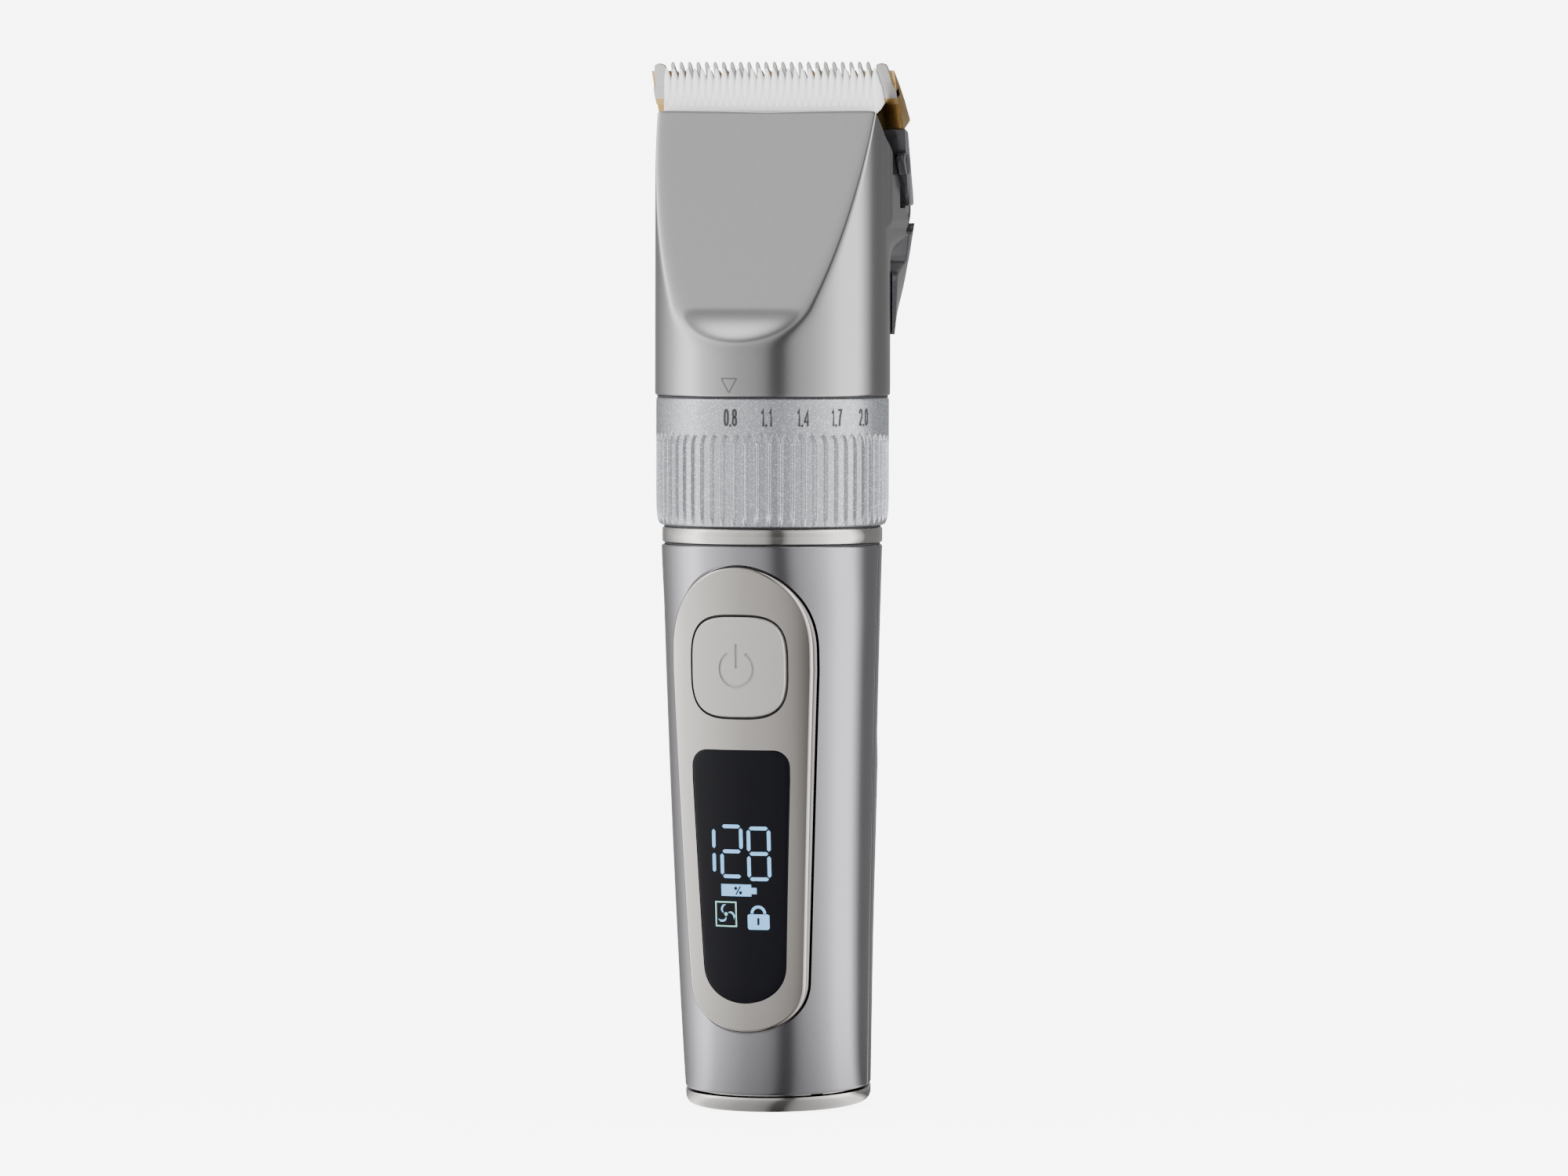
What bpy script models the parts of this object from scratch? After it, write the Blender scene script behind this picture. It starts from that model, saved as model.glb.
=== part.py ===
"""Cordless hair and beard clipper: handle, length dial, slanted head and hinged blade cassette.

+Z runs along the dial and motor axis, from the base to the blades. The front, with the button
and the display, faces -Y, and +X is on the right when looking at the front. The origin is where
the dial axis meets the tilted base face. Lengths are in millimetres and are turned into metres
by MM when a mesh is made.
"""

import math

import bmesh
import bpy
from mathutils import Vector

for old_object in list(bpy.data.objects):
    bpy.data.objects.remove(old_object, do_unlink=True)

MM = 0.001
GAP = 0.3                      # clearance between neighbouring pieces
HALF_GAP = GAP / 2             # each piece's share of the gap at a seam
SIDES = (("left", -1), ("right", 1))

# ---- driving dimensions ------------------------------------------------------
TOTAL_LENGTH = 178.0           # base plane on the axis to the fixed blade's tips
BASE_TILT = 0.075              # slope of the base face, tan of the angle
CAP_SEAM = 2.7                 # station of the seam between base cap and shells
HANDLE_TOP = 96.0              # seam between handle and collar
COLLAR_TOP = 99.05             # seam between collar and dial
FLUTE_TOP = 114.9              # upper end of the dial's flutes
DIAL_TOP = 121.1               # seam between dial and head
HEAD_TOP = 170.3               # upper front edge of the head

BASE_RADIUS = 15.75            # handle radius at the base
TOP_RADIUS = 18.8              # handle radius at the collar
HANDLE_FLAT = 1.2              # how far the handle's front is flattened under the panel
SHELL_WALL = 1.8
FINGER_REST = 2.2              # height of the rear finger rest

COLLAR_RADIUS = TOP_RADIUS
DIAL_RADIUS = 19.9
FLUTES = 60
FLUTE_DEPTH = 0.5
DIAL_TRAVEL = 72.0             # degrees between the first and the last number

HEAD_RADIUS = 20.1
HEAD_WALL = 1.8
FACET_SLOPE = 0.372            # run of the slanted front face per mm of height
FACET_TOP = 3.2                # distance in front of the axis at HEAD_TOP
FACET_FOOT = 136.2             # where the slanted face turns into the scoop
SCOOP_CURVE = 0.0675

MOTOR_RADIUS, MOTOR_LOW, MOTOR_HIGH = 11.9, 91.0, 122.0
ECCENTRICITY = 1.2             # half of the moving blade's stroke

BLADE_TILT = math.radians(27)  # sliding plane of the blades, from vertical
SKIN_TILT = math.radians(46)   # rear plane that lies on the skin
TIP_Y, TIP_Z = -1.9, TOTAL_LENGTH
SHIFT_TRAVEL = 1.2             # cutting length change from first to last number
PIVOT_Y, PIVOT_Z = 18.1, 153.1
BARREL_RADIUS = 4.0            # hinge barrel of the cassette


# ---- materials ---------------------------------------------------------------
def material(name, rgb, roughness, metallic=0.0):
    made = bpy.data.materials.new(name)
    made.use_nodes = True
    inputs = made.node_tree.nodes["Principled BSDF"].inputs
    inputs["Base Color"].default_value = (*rgb, 1.0)
    inputs["Roughness"].default_value = roughness
    inputs["Metallic"].default_value = metallic
    made.diffuse_color = (*rgb, 1.0)
    return made


GUNMETAL = material("gunmetal_paint", rgb=(0.42, 0.41, 0.42), roughness=0.3, metallic=0.9)
CHROME = material("nickel_chrome", rgb=(0.66, 0.64, 0.62), roughness=0.08, metallic=1.0)
PANEL = material("warm_nickel", rgb=(0.50, 0.48, 0.45), roughness=0.25, metallic=1.0)
DIAL = material("silver_sparkle", rgb=(0.52, 0.53, 0.55), roughness=0.4, metallic=0.7)
BUTTON = material("satin_button", rgb=(0.55, 0.54, 0.53), roughness=0.35, metallic=0.4)
LENS = material("black_lens", rgb=(0.012, 0.012, 0.016), roughness=0.06)
SMOKE = material("smoked_gloss", rgb=(0.06, 0.055, 0.06), roughness=0.12)
GOLD = material("titanium_gold", rgb=(0.55, 0.36, 0.12), roughness=0.22, metallic=1.0)
CERAMIC = material("white_ceramic", rgb=(0.85, 0.85, 0.86), roughness=0.2)
NYLON = material("white_nylon", rgb=(0.8, 0.8, 0.78), roughness=0.45)
BLACK = material("black_plastic", rgb=(0.03, 0.03, 0.032), roughness=0.5)
STEEL = material("steel", rgb=(0.55, 0.55, 0.56), roughness=0.25, metallic=1.0)
BRASS = material("brass", rgb=(0.65, 0.48, 0.2), roughness=0.3, metallic=1.0)
BOARD = material("board_green", rgb=(0.03, 0.16, 0.07), roughness=0.5)
SLEEVE = material("battery_sleeve", rgb=(0.05, 0.18, 0.4), roughness=0.35)
WIRE_RED = material("wire_red", rgb=(0.5, 0.03, 0.03), roughness=0.4)
WIRE_BLACK = material("wire_black", rgb=(0.02, 0.02, 0.02), roughness=0.4)
RUBBER = material("grey_rubber", rgb=(0.08, 0.08, 0.08), roughness=0.8)


# ---- mesh helpers ------------------------------------------------------------
def add_object(name, verts, faces, mat=None, origin=(0, 0, 0), angle=35):
    """Object from a mesh in mm. Without a material it is a hidden boolean helper."""
    origin = Vector(origin)
    mesh = bpy.data.meshes.new(name)
    mesh.from_pydata([(Vector(vert) - origin) * MM for vert in verts], [], faces)
    bm = bmesh.new()
    bm.from_mesh(mesh)
    bmesh.ops.recalc_face_normals(bm, faces=bm.faces)
    bm.to_mesh(mesh)
    bm.free()
    obj = bpy.data.objects.new(name, mesh)
    bpy.context.scene.collection.objects.link(obj)
    obj.location = origin * MM
    mesh.shade_smooth()
    mesh.set_sharp_from_angle(angle=math.radians(angle))
    if mat is None:
        obj.hide_render = True
        obj.display_type = "WIRE"
    else:
        mesh.materials.append(mat)
    return obj


def band_faces(first, second, count):
    """Faces of a closed band between the rings that start at two vertex numbers."""
    faces = []
    for i in range(count):
        j = (i + 1) % count
        faces.append((first + i, first + j, second + j, second + i))
    return faces


def rings_mesh(rings):
    """Closed solid through equal rings, capped at both ends."""
    count = len(rings[0])
    last = (len(rings) - 1) * count
    verts = [point for ring in rings for point in ring]
    faces = []
    for start in range(0, last, count):
        faces += band_faces(start, start + count, count)
    faces.append(tuple(range(count)))
    faces.append(tuple(range(last, last + count)))
    return verts, faces


def loop_mesh(rings):
    """Annular solid through equal rings, the last one joined back to the first."""
    count = len(rings[0])
    verts = [point for ring in rings for point in ring]
    faces = []
    for k in range(len(rings)):
        faces += band_faces(k * count, (k + 1) % len(rings) * count, count)
    return verts, faces


def sheet_mesh(outer, inner, closed):
    """A wall between two grids of points: outer[row][column] and inner[row][column]."""
    rows, cols = len(outer), len(outer[0])
    verts = [point for grid in (outer, inner) for row in grid for point in row]
    back = rows * cols

    def at(row, col):
        return row * cols + col % cols

    faces = []
    spans = cols if closed else cols - 1
    for r in range(rows - 1):
        for c in range(spans):
            here, right = at(r, c), at(r, c + 1)
            above, across = at(r + 1, c), at(r + 1, c + 1)
            faces.append((here, right, across, above))
            faces.append((back + here, back + above, back + across, back + right))
    for c in range(spans):
        low, low_next = at(0, c), at(0, c + 1)
        high, high_next = at(rows - 1, c), at(rows - 1, c + 1)
        faces.append((low, back + low, back + low_next, low_next))
        faces.append((high, high_next, back + high_next, back + high))
    if not closed:
        for r in range(rows - 1):
            start, start_up = at(r, 0), at(r + 1, 0)
            end, end_up = at(r, cols - 1), at(r + 1, cols - 1)
            faces.append((start, start_up, back + start_up, back + start))
            faces.append((end, back + end, back + end_up, end_up))
    return verts, faces


def merge_meshes(parts):
    """One (verts, faces) pair out of several separate ones."""
    verts, faces = [], []
    for part_verts, part_faces in parts:
        shift = len(verts)
        verts += part_verts
        faces += [tuple(shift + i for i in face) for face in part_faces]
    return verts, faces


def polar(radius, degrees, z):
    angle = math.radians(degrees)
    return (radius * math.cos(angle), radius * math.sin(angle), z)


def circle(radius, z, segments, axis_x=0.0, axis_y=0.0):
    points = []
    for i in range(segments):
        angle = 2 * math.pi * i / segments
        points.append((axis_x + radius * math.cos(angle), axis_y + radius * math.sin(angle), z))
    return points


def turned(name, profile, segments, mat=None, axis_x=0.0, axis_y=0.0):
    """Solid of revolution about a vertical axis: profile is (radius, z) from end to end."""
    rings = [circle(radius, z, segments, axis_x, axis_y) for radius, z in profile]
    return add_object(name, *rings_mesh(rings), mat)


def turned_ring(name, profile, segments, mat):
    """Annular solid about Z: profile is a closed loop of (radius, z)."""
    return add_object(name, *loop_mesh([circle(radius, z, segments) for radius, z in profile]), mat)


def box(name, low, high, mat=None):
    (x0, y0, z0), (x1, y1, z1) = low, high
    rings = [[(x0, y0, z), (x1, y0, z), (x1, y1, z), (x0, y1, z)] for z in (z0, z1)]
    return add_object(name, *rings_mesh(rings), mat)


def extrude_x(name, polygon, x_low, x_high, mat=None):
    """A (y, z) polygon drawn out along X."""
    rings = [[(x, y, z) for y, z in polygon] for x in (x_low, x_high)]
    return add_object(name, *rings_mesh(rings), mat)


def side_span(side, near, far):
    """Low and high x of a span between two distances from the axis, on one side."""
    return sorted((side * near, side * far))


def round_bar(name, start, end, radius, segments, mat=None):
    start, end = Vector(start), Vector(end)
    turn = (end - start).to_track_quat("Z", "Y")
    rings = [[tuple(centre + turn @ Vector(point)) for point in circle(radius, 0, segments)]
             for centre in (start, end)]
    return add_object(name, *rings_mesh(rings), mat)


def wire(name, points, radius, segments, mat):
    """Round wire along a line of points, with mitred turns."""
    points = [Vector(point) for point in points]
    across = Vector((0.123, 0.31, 0.94)).normalized()
    rings = []
    for i, point in enumerate(points):
        before = (point - points[i - 1] if i else points[1] - point).normalized()
        after = (points[i + 1] - point).normalized() if i < len(points) - 1 else before
        along = (before + after).normalized()
        across = across - along * across.dot(along)
        if across.length < 0.1:
            across = Vector((1, 0, 0)) - along * along.x
        across.normalize()
        other = along.cross(across)
        rings.append([tuple(point + across * x + other * y)
                      for x, y, _ in circle(radius, 0, segments)])
    return add_object(name, *rings_mesh(rings), mat)


def boolean(obj, tools, operation):
    for tool in tools:
        modifier = obj.modifiers.new(operation.lower() + "_" + tool.name, "BOOLEAN")
        modifier.operation = operation
        modifier.solver = "EXACT"
        modifier.object = tool


def cut(obj, *tools):
    boolean(obj, tools, "DIFFERENCE")


def unite(obj, *tools):
    boolean(obj, tools, "UNION")


def joint(name, at, *children):
    """Empty at a joint, with the pieces that move with it as its children."""
    pivot = bpy.data.objects.new(name, None)
    bpy.context.scene.collection.objects.link(pivot)
    pivot.location = Vector(at) * MM
    pivot.empty_display_size = 0.01
    for child in children:
        child.parent = pivot
        child.location = child.location - pivot.location


def clamp01(value):
    return min(1.0, max(0.0, value))


def smooth(start, end, value):
    """Soft step from 0 at start to 1 at end; end may be below start."""
    ramp = clamp01((value - start) / (end - start))
    return ramp * ramp * (3 - 2 * ramp)


def arc(start, end, count):
    """Evenly spaced angles in radians between two angles in degrees."""
    return [math.radians(start + (end - start) * i / (count - 1)) for i in range(count)]


# ---- handle surface ----------------------------------------------------------
# A station is a height along the handle; its plane tilts more and more towards the base.
FLAT_FADE = (84, 95.5)         # stations where the front flat fades out
REST_CREST = (56, 57.5)        # stations where the finger rest has its full height
REST_FOOT, REST_END = 22, 64.5  # its lower and upper ends


def handle_centre(station):
    """Y of the handle's centre line, which curves rearwards to the base."""
    return BASE_TILT / (2 * HANDLE_TOP) * (HANDLE_TOP - station) ** 2


def handle_radius(station):
    return BASE_RADIUS + (TOP_RADIUS - BASE_RADIUS) * (station / HANDLE_TOP) ** 0.9


def handle_flat(station):
    return HANDLE_FLAT * (1 - smooth(*FLAT_FADE, station))


def finger_rest(station):
    low, high = REST_CREST
    return FINGER_REST * smooth(REST_END, high, station) * (1 - smooth(low, REST_FOOT, station))


def on_station(x, offset, station):
    """Point on a station's tilted plane, offset along Y from the centre line."""
    tilt = BASE_TILT * (HANDLE_TOP - station) / HANDLE_TOP
    y = handle_centre(station) + offset
    return (x, y, station + y * tilt)


def handle_point(angle, station, inset=0.0):
    """Point on the handle skin; the angle is measured from +X, -90 degrees is the front."""
    radius = handle_radius(station) - inset
    sine = math.sin(angle)
    if sine < 0:
        offset = -(radius - handle_flat(station)) * abs(sine) ** 0.94
    else:
        offset = radius * sine + finger_rest(station) * sine ** 1.3
    return on_station(radius * math.cos(angle), offset, station)


def skin_surface(inset):
    """Rule for points (x, station) on the front of the handle, inset from its skin."""
    def point(x, station):
        angle = -math.acos(x / (handle_radius(station) - inset))
        return handle_point(angle, station, inset)
    return point


PANEL_SAG = 34.0               # cross radius of the panel's face


def panel_surface(depth):
    """Rule for points (x, station) at a depth below the panel's flatter face."""
    def point(x, station):
        front = handle_radius(station) - 0.66 * handle_flat(station) + 0.02
        return on_station(x, -front + x * x / (2 * PANEL_SAG) + depth, station)
    return point


# ---- handle shells -----------------------------------------------------------
SHELL_STATIONS = [3.05, 9, 16, 24, 32, 40, 48, 54, 57.5, 61, 64.5, 70, 78, 84, 88, 92,
                  HANDLE_TOP - HALF_GAP]


def handle_shell(name, start, end, columns):
    """Shell between two angles in degrees."""
    angles = arc(start, end, columns)
    outer, inner = ([[handle_point(angle, station, inset) for angle in angles]
                     for station in SHELL_STATIONS] for inset in (0.0, SHELL_WALL))
    return add_object(name, *sheet_mesh(outer, inner, closed=False), GUNMETAL)


front_shell = handle_shell("front_shell", -184, 4, 33)
handle_shell("rear_shell", 5, 175, 25)

# ---- outlines on the front, as (x, station) ------------------------------------
PANEL_LOW, PANEL_HIGH = 13.0, 92.6
PANEL_HALF, PANEL_HALF_FOOT = 12.83, 10.3
PANEL_TAPER_LOW, PANEL_TAPER_LENGTH = 20, 55
PANEL_ROUND_LOW, PANEL_ROUND_HIGH = 22, 78       # the ends are rounded beyond these stations

WINDOW_LOW, WINDOW_HIGH = 17.9, 61.4
WINDOW_HALF_FOOT, WINDOW_WIDENING = 7.4, 1.35
WINDOW_TAPER_LOW, WINDOW_TAPER_LENGTH = 25, 32
WINDOW_CORNER = 2.7            # radius of the upper corners
WINDOW_ROUND_LOW = 25.5        # the lower end is rounded below this station

BUTTON_Z, BUTTON_HALF = 75.3, 8.7
BUTTON_POWER = 3.4             # superellipse exponent of the button's outline


def panel_width(station):
    """Half width of the panel at a station."""
    taper = clamp01((station - PANEL_TAPER_LOW) / PANEL_TAPER_LENGTH) ** 0.9
    width = PANEL_HALF_FOOT + (PANEL_HALF - PANEL_HALF_FOOT) * taper
    if station > PANEL_ROUND_HIGH:
        rise = (station - PANEL_ROUND_HIGH) / (PANEL_HIGH - PANEL_ROUND_HIGH)
        width *= math.sqrt(1 - rise ** 2.3)
    if station < PANEL_ROUND_LOW:
        drop = (PANEL_ROUND_LOW - station) / (PANEL_ROUND_LOW - PANEL_LOW)
        width *= math.sqrt(1 - drop ** 2.2)
    return width


def window_width(station):
    """Half width of the display window at a station."""
    taper = clamp01((station - WINDOW_TAPER_LOW) / WINDOW_TAPER_LENGTH)
    width = WINDOW_HALF_FOOT + WINDOW_WIDENING * taper
    if station > WINDOW_HIGH - WINDOW_CORNER:
        rise = (station - WINDOW_HIGH + WINDOW_CORNER) / WINDOW_CORNER
        width -= WINDOW_CORNER * (1 - math.sqrt(1 - rise ** 2))
    if station < WINDOW_ROUND_LOW:
        drop = (WINDOW_ROUND_LOW - station) / (WINDOW_ROUND_LOW - WINDOW_LOW)
        width *= math.sqrt(1 - drop ** 2.2)
    return width


def width_outline(width, low, high, steps):
    """Closed outline from a half width rule: right side up, left side down."""
    stations = [low + (high - low) * (0.5 - 0.5 * math.cos(math.pi * i / steps))
                for i in range(1, steps)]
    right = [(width(station), station) for station in stations]
    return [(0.0, low)] + right + [(0.0, high)] + [(-x, station) for x, station in reversed(right)]


def squircle(centre_z, half, count):
    points = []
    for i in range(count):
        angle = 2 * math.pi * i / count - math.pi / 2
        x, z = (half * math.copysign(abs(part) ** (2 / BUTTON_POWER), part)
                for part in (math.cos(angle), math.sin(angle)))
        points.append((x, centre_z + z))
    return points


def grow(points, distance):
    """Outline moved outwards, or inwards for a negative distance."""
    grown = []
    for i, (x, station) in enumerate(points):
        x_before, before = points[i - 1]
        x_after, after = points[(i + 1) % len(points)]
        run, rise = x_after - x_before, after - before
        length = math.hypot(run, rise)
        grown.append((x + rise / length * distance, station - run / length * distance))
    return grown


def plug(name, points, top, bottom, mat=None, origin=(0, 0, 0)):
    """Solid between two surfaces over an outline: two rings and a fan centre on each."""
    count = len(points)
    mean_x = sum(x for x, _ in points) / count
    mean_station = sum(station for _, station in points) / count
    verts = []
    for surface in (top, bottom):
        for scale in (1.0, 0.55):
            verts += [surface(mean_x + (x - mean_x) * scale,
                              mean_station + (station - mean_station) * scale)
                      for x, station in points]
        verts.append(surface(mean_x, mean_station))
    low = 2 * count + 1          # first vertex of the bottom surface
    faces = []
    for i in range(count):
        j = (i + 1) % count
        faces.append((i, j, count + j, count + i))
        faces.append((count + i, count + j, 2 * count))
        faces.append((low + j, low + i, low + count + i, low + count + j))
        faces.append((low + count + j, low + count + i, low + 2 * count))
        faces.append((j, i, low + i, low + j))
    return add_object(name, verts, faces, mat, origin)


PANEL_LINE = width_outline(panel_width, PANEL_LOW, PANEL_HIGH, 22)
WINDOW_LINE = width_outline(window_width, WINDOW_LOW, WINDOW_HIGH, 14)
BUTTON_LINE = squircle(BUTTON_Z, BUTTON_HALF, 32)

# ---- front panel, display window and power button ------------------------------
ABOVE_PANEL = panel_surface(-3)  # where the hole cutters start, clear of the panel
BUTTON_ORIGIN = (0, -17, BUTTON_Z)

front_panel = plug("front_panel", PANEL_LINE, panel_surface(0), skin_surface(0.8), PANEL)
panel_recess = plug("panel_recess", grow(PANEL_LINE, 0.35), ABOVE_PANEL, skin_surface(1.15))
button_hole = plug("button_hole", grow(BUTTON_LINE, 0.35), ABOVE_PANEL, panel_surface(9))
window_hole = plug("window_hole", grow(WINDOW_LINE, 0.12), ABOVE_PANEL, panel_surface(9))
lcd_hole = plug("lcd_hole", grow(WINDOW_LINE, -1.2), ABOVE_PANEL, panel_surface(8))
cut(front_panel, button_hole, window_hole)
cut(front_shell, panel_recess, button_hole, lcd_hole)

plug("display_window", WINDOW_LINE, panel_surface(-0.05), panel_surface(0.95), LENS)
plug("power_button", BUTTON_LINE, panel_surface(-0.5), panel_surface(1.75), BUTTON, BUTTON_ORIGIN)

# ---- control board behind the panel ----------------------------------------------
BOARD_TILT = math.radians(4.1)
BOARD_Y, BOARD_Z = -10.75, 50  # a point on the board's front face
BOARD_PARTS = (-1.9, -0.3)     # depths of the parts in front of the board
SWITCH_HALF = 3


def board_box(name, half, depths, heights, mat):
    """Box in board coordinates: depth behind its front face, height along it."""
    cosine, sine = math.cos(BOARD_TILT), math.sin(BOARD_TILT)
    front, back = depths
    corners = ((-half, front), (half, front), (half, back), (-half, back))
    rings = [[(x, BOARD_Y + depth * cosine - (height - BOARD_Z) * sine, height + depth * sine)
              for x, depth in corners] for height in heights]
    return add_object(name, *rings_mesh(rings), mat)


board_box("control_board", 8.2, (0, 1.2), (14, 82.2), BOARD)
board_box("display_module", 6.0, BOARD_PARTS, (28, 56), NYLON)
board_box("power_switch", SWITCH_HALF, BOARD_PARTS,
          (BUTTON_Z - SWITCH_HALF, BUTTON_Z + SWITCH_HALF), BLACK)

# ---- battery and its contacts ----------------------------------------------------
BATTERY_Y, BATTERY_RADIUS = 4.2, 9.1
BATTERY_LOW, BATTERY_HIGH = 13.0, 78.0
BATTERY_SHOULDER = BATTERY_HIGH - 1.1
BATTERY_BACK = BATTERY_Y + BATTERY_RADIUS
TAB_HALF = 2.2
TAB_THICKNESS = 0.3

turned("battery_cell",
       [(BATTERY_RADIUS - 0.6, BATTERY_LOW), (BATTERY_RADIUS, BATTERY_LOW + 0.6),
        (BATTERY_RADIUS, BATTERY_SHOULDER - 0.5), (BATTERY_RADIUS - 0.5, BATTERY_SHOULDER),
        (3, BATTERY_SHOULDER), (2.8, BATTERY_HIGH)], 32, SLEEVE, axis_y=BATTERY_Y)
for pole, tab_z in (("positive", BATTERY_HIGH + GAP),
                    ("negative", BATTERY_LOW - GAP - TAB_THICKNESS)):
    box("battery_tab_" + pole, (-TAB_HALF, BATTERY_Y - 8, tab_z),
        (TAB_HALF, BATTERY_Y + 3, tab_z + TAB_THICKNESS), STEEL)
box("battery_foam_pad", (-5, BATTERY_BACK + 0.35, 24), (5, BATTERY_BACK + 1.3, 56), RUBBER)

# ---- base cap with charge socket ---------------------------------------------------
SOCKET_Y = 10.5
SOCKET_HALF_X, SOCKET_HALF_Y = 4.5, 1.7
SOCKET_CLEARANCE = 0.4
SOCKET_WALL = 0.5
SKIRT_INSET = SHELL_WALL + GAP
SKIRT_HEIGHT = 4.0
# (station, inset from the handle skin), from the base face up to the skirt inside the shells
CAP_PROFILE = [(0.0, 1.3), (0.35, 0.5), (0.9, 0.1), (CAP_SEAM, 0.0), (CAP_SEAM, SKIRT_INSET),
               (CAP_SEAM + SKIRT_HEIGHT, SKIRT_INSET)]
CAP_SEGMENTS = 48


def socket_box(name, spread, z_low, z_high, mat=None):
    """Box about the socket's axis, spread beyond the socket's body on all four sides."""
    half_x, half_y = SOCKET_HALF_X + spread, SOCKET_HALF_Y + spread
    return box(name, (-half_x, SOCKET_Y - half_y, z_low), (half_x, SOCKET_Y + half_y, z_high), mat)


base_cap = add_object("base_cap", *rings_mesh([
    [handle_point(2 * math.pi * i / CAP_SEGMENTS, station, inset) for i in range(CAP_SEGMENTS)]
    for station, inset in CAP_PROFILE]), CHROME)
cut(base_cap, box("cap_pocket", (-11, -6, 1.9), (11, 4, 12)),
    socket_box("socket_hole", SOCKET_CLEARANCE, -3, 12))
charge_socket = socket_box("charge_socket", 0, 1.2, 8.2, STEEL)
cut(charge_socket, socket_box("socket_mouth", -SOCKET_WALL, -1, 6.5))
box("charge_tongue", (-3.3, SOCKET_Y - 0.35, 2.2), (3.3, SOCKET_Y + 0.35, 6.2), BLACK)

# ---- collar ------------------------------------------------------------------------
COLLAR_BORE = 15.0
COLLAR_BEVEL = 0.15            # radial size of the edge bevels
COLLAR_EDGE = 0.4              # distance from each seam to the collar's full radius

turned_ring("collar_ring",
            [(COLLAR_RADIUS - COLLAR_BEVEL, HANDLE_TOP + HALF_GAP),
             (COLLAR_RADIUS, HANDLE_TOP + COLLAR_EDGE),
             (COLLAR_RADIUS, COLLAR_TOP - COLLAR_EDGE),
             (COLLAR_RADIUS - COLLAR_BEVEL, COLLAR_TOP - HALF_GAP),
             (COLLAR_BORE, COLLAR_TOP - HALF_GAP), (COLLAR_BORE, HANDLE_TOP + HALF_GAP)],
            64, CHROME)

# ---- motor and its chassis, the fixed core that the dial turns on --------------------
CHASSIS_RADIUS, CHASSIS_LOW = 14.6, 84
CHASSIS_BORE = MOTOR_RADIUS + GAP
CHASSIS_ROOF = 124.2           # underside of the wall above the motor
FLANGE_RADIUS, FLANGE_LOW, FLANGE_TOP = 17.9, 122.6, 125.6
NOSE_RADIUS = 4.0              # raised boss on top of the motor
SHAFT_HOLE_RADIUS = 4.6
SCREW_X = 8.5
SCREW_BORE_Y = 0.21

motor_chassis = turned_ring(
    "motor_chassis",
    [(CHASSIS_RADIUS, CHASSIS_LOW), (CHASSIS_RADIUS, FLANGE_LOW), (FLANGE_RADIUS, FLANGE_LOW),
     (FLANGE_RADIUS, FLANGE_TOP), (SHAFT_HOLE_RADIUS, FLANGE_TOP),
     (SHAFT_HOLE_RADIUS, CHASSIS_ROOF), (CHASSIS_BORE, CHASSIS_ROOF),
     (CHASSIS_BORE, CHASSIS_LOW)], 44, BLACK)
turned("motor_can",
       [(MOTOR_RADIUS - 0.4, MOTOR_LOW), (MOTOR_RADIUS, MOTOR_LOW + 0.4),
        (MOTOR_RADIUS, MOTOR_HIGH - 0.8), (MOTOR_RADIUS - 0.8, MOTOR_HIGH),
        (NOSE_RADIUS, MOTOR_HIGH), (NOSE_RADIUS, MOTOR_HIGH + 2.6)], 40, STEEL)
turned("motor_end_cap", [(MOTOR_RADIUS - 0.5, MOTOR_LOW - 2.6),
                         (MOTOR_RADIUS - 0.5, MOTOR_LOW - GAP)], 32, BLACK)
for pole, side, finish in (("positive", 1, WIRE_RED), ("negative", -1, WIRE_BLACK)):
    wire("motor_lead_" + pole, [(side * 5, 0, 88.0), (side * 5, 0, 85), (side * 6, -4, 82),
                                (side * 6, -8.2, 80.5)], 0.55, 8, finish)
for side_name, side in SIDES:
    cut(motor_chassis, turned("chassis_screw_bore_" + side_name, [(1.5, 119.3), (1.5, 131.7)],
                              14, axis_x=side * SCREW_X, axis_y=SCREW_BORE_Y))
    turned("chassis_screw_" + side_name,
           [(1.1, FLANGE_LOW - 0.1), (1.1, FLANGE_TOP + GAP), (2.2, FLANGE_TOP + GAP),
            (2.0, 127.0)], 12, STEEL, axis_x=side * SCREW_X)
# slots in the chassis flange for the pusher's arms
for side_name, side in SIDES:
    x_low, x_high = side_span(side, 14.75, 19.0)
    cut(motor_chassis, box("arm_slot_" + side_name, (x_low, -3.37, 120.3), (x_high, 3.61, 127.7)))

# ---- rotor: shaft and eccentric --------------------------------------------------------
CAM_RADIUS, CAM_LOW, CAM_TOP = 4.6, 138.0, 143.6
CAM_PIN_RADIUS, CAM_PIN_TOP = 1.4, 150.5

motor_shaft = turned("motor_shaft", [(1.0, 124.9), (1.0, 137.6)], 16, STEEL)
drive_cam = turned("drive_cam", [(CAM_RADIUS, CAM_LOW), (CAM_RADIUS, CAM_TOP)], 28, BRASS)
unite(drive_cam, turned("cam_pin", [(CAM_PIN_RADIUS, 142.0), (CAM_PIN_RADIUS, CAM_PIN_TOP - 0.4),
                                    (1.0, CAM_PIN_TOP)], 16, axis_x=ECCENTRICITY))

# ---- dial: fluted ring with an internal face cam -----------------------------------------
LEDGE_TOP = 111.0              # highest level of the face cam
SHIFT_Z = SHIFT_TRAVEL * math.cos(BLADE_TILT)
FALL_END, RETURN_END = 90, 170  # degrees where the cam stops falling and is back at the top
DIAL_INNER, LEDGE_INNER = 16.7, 14.9


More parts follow.
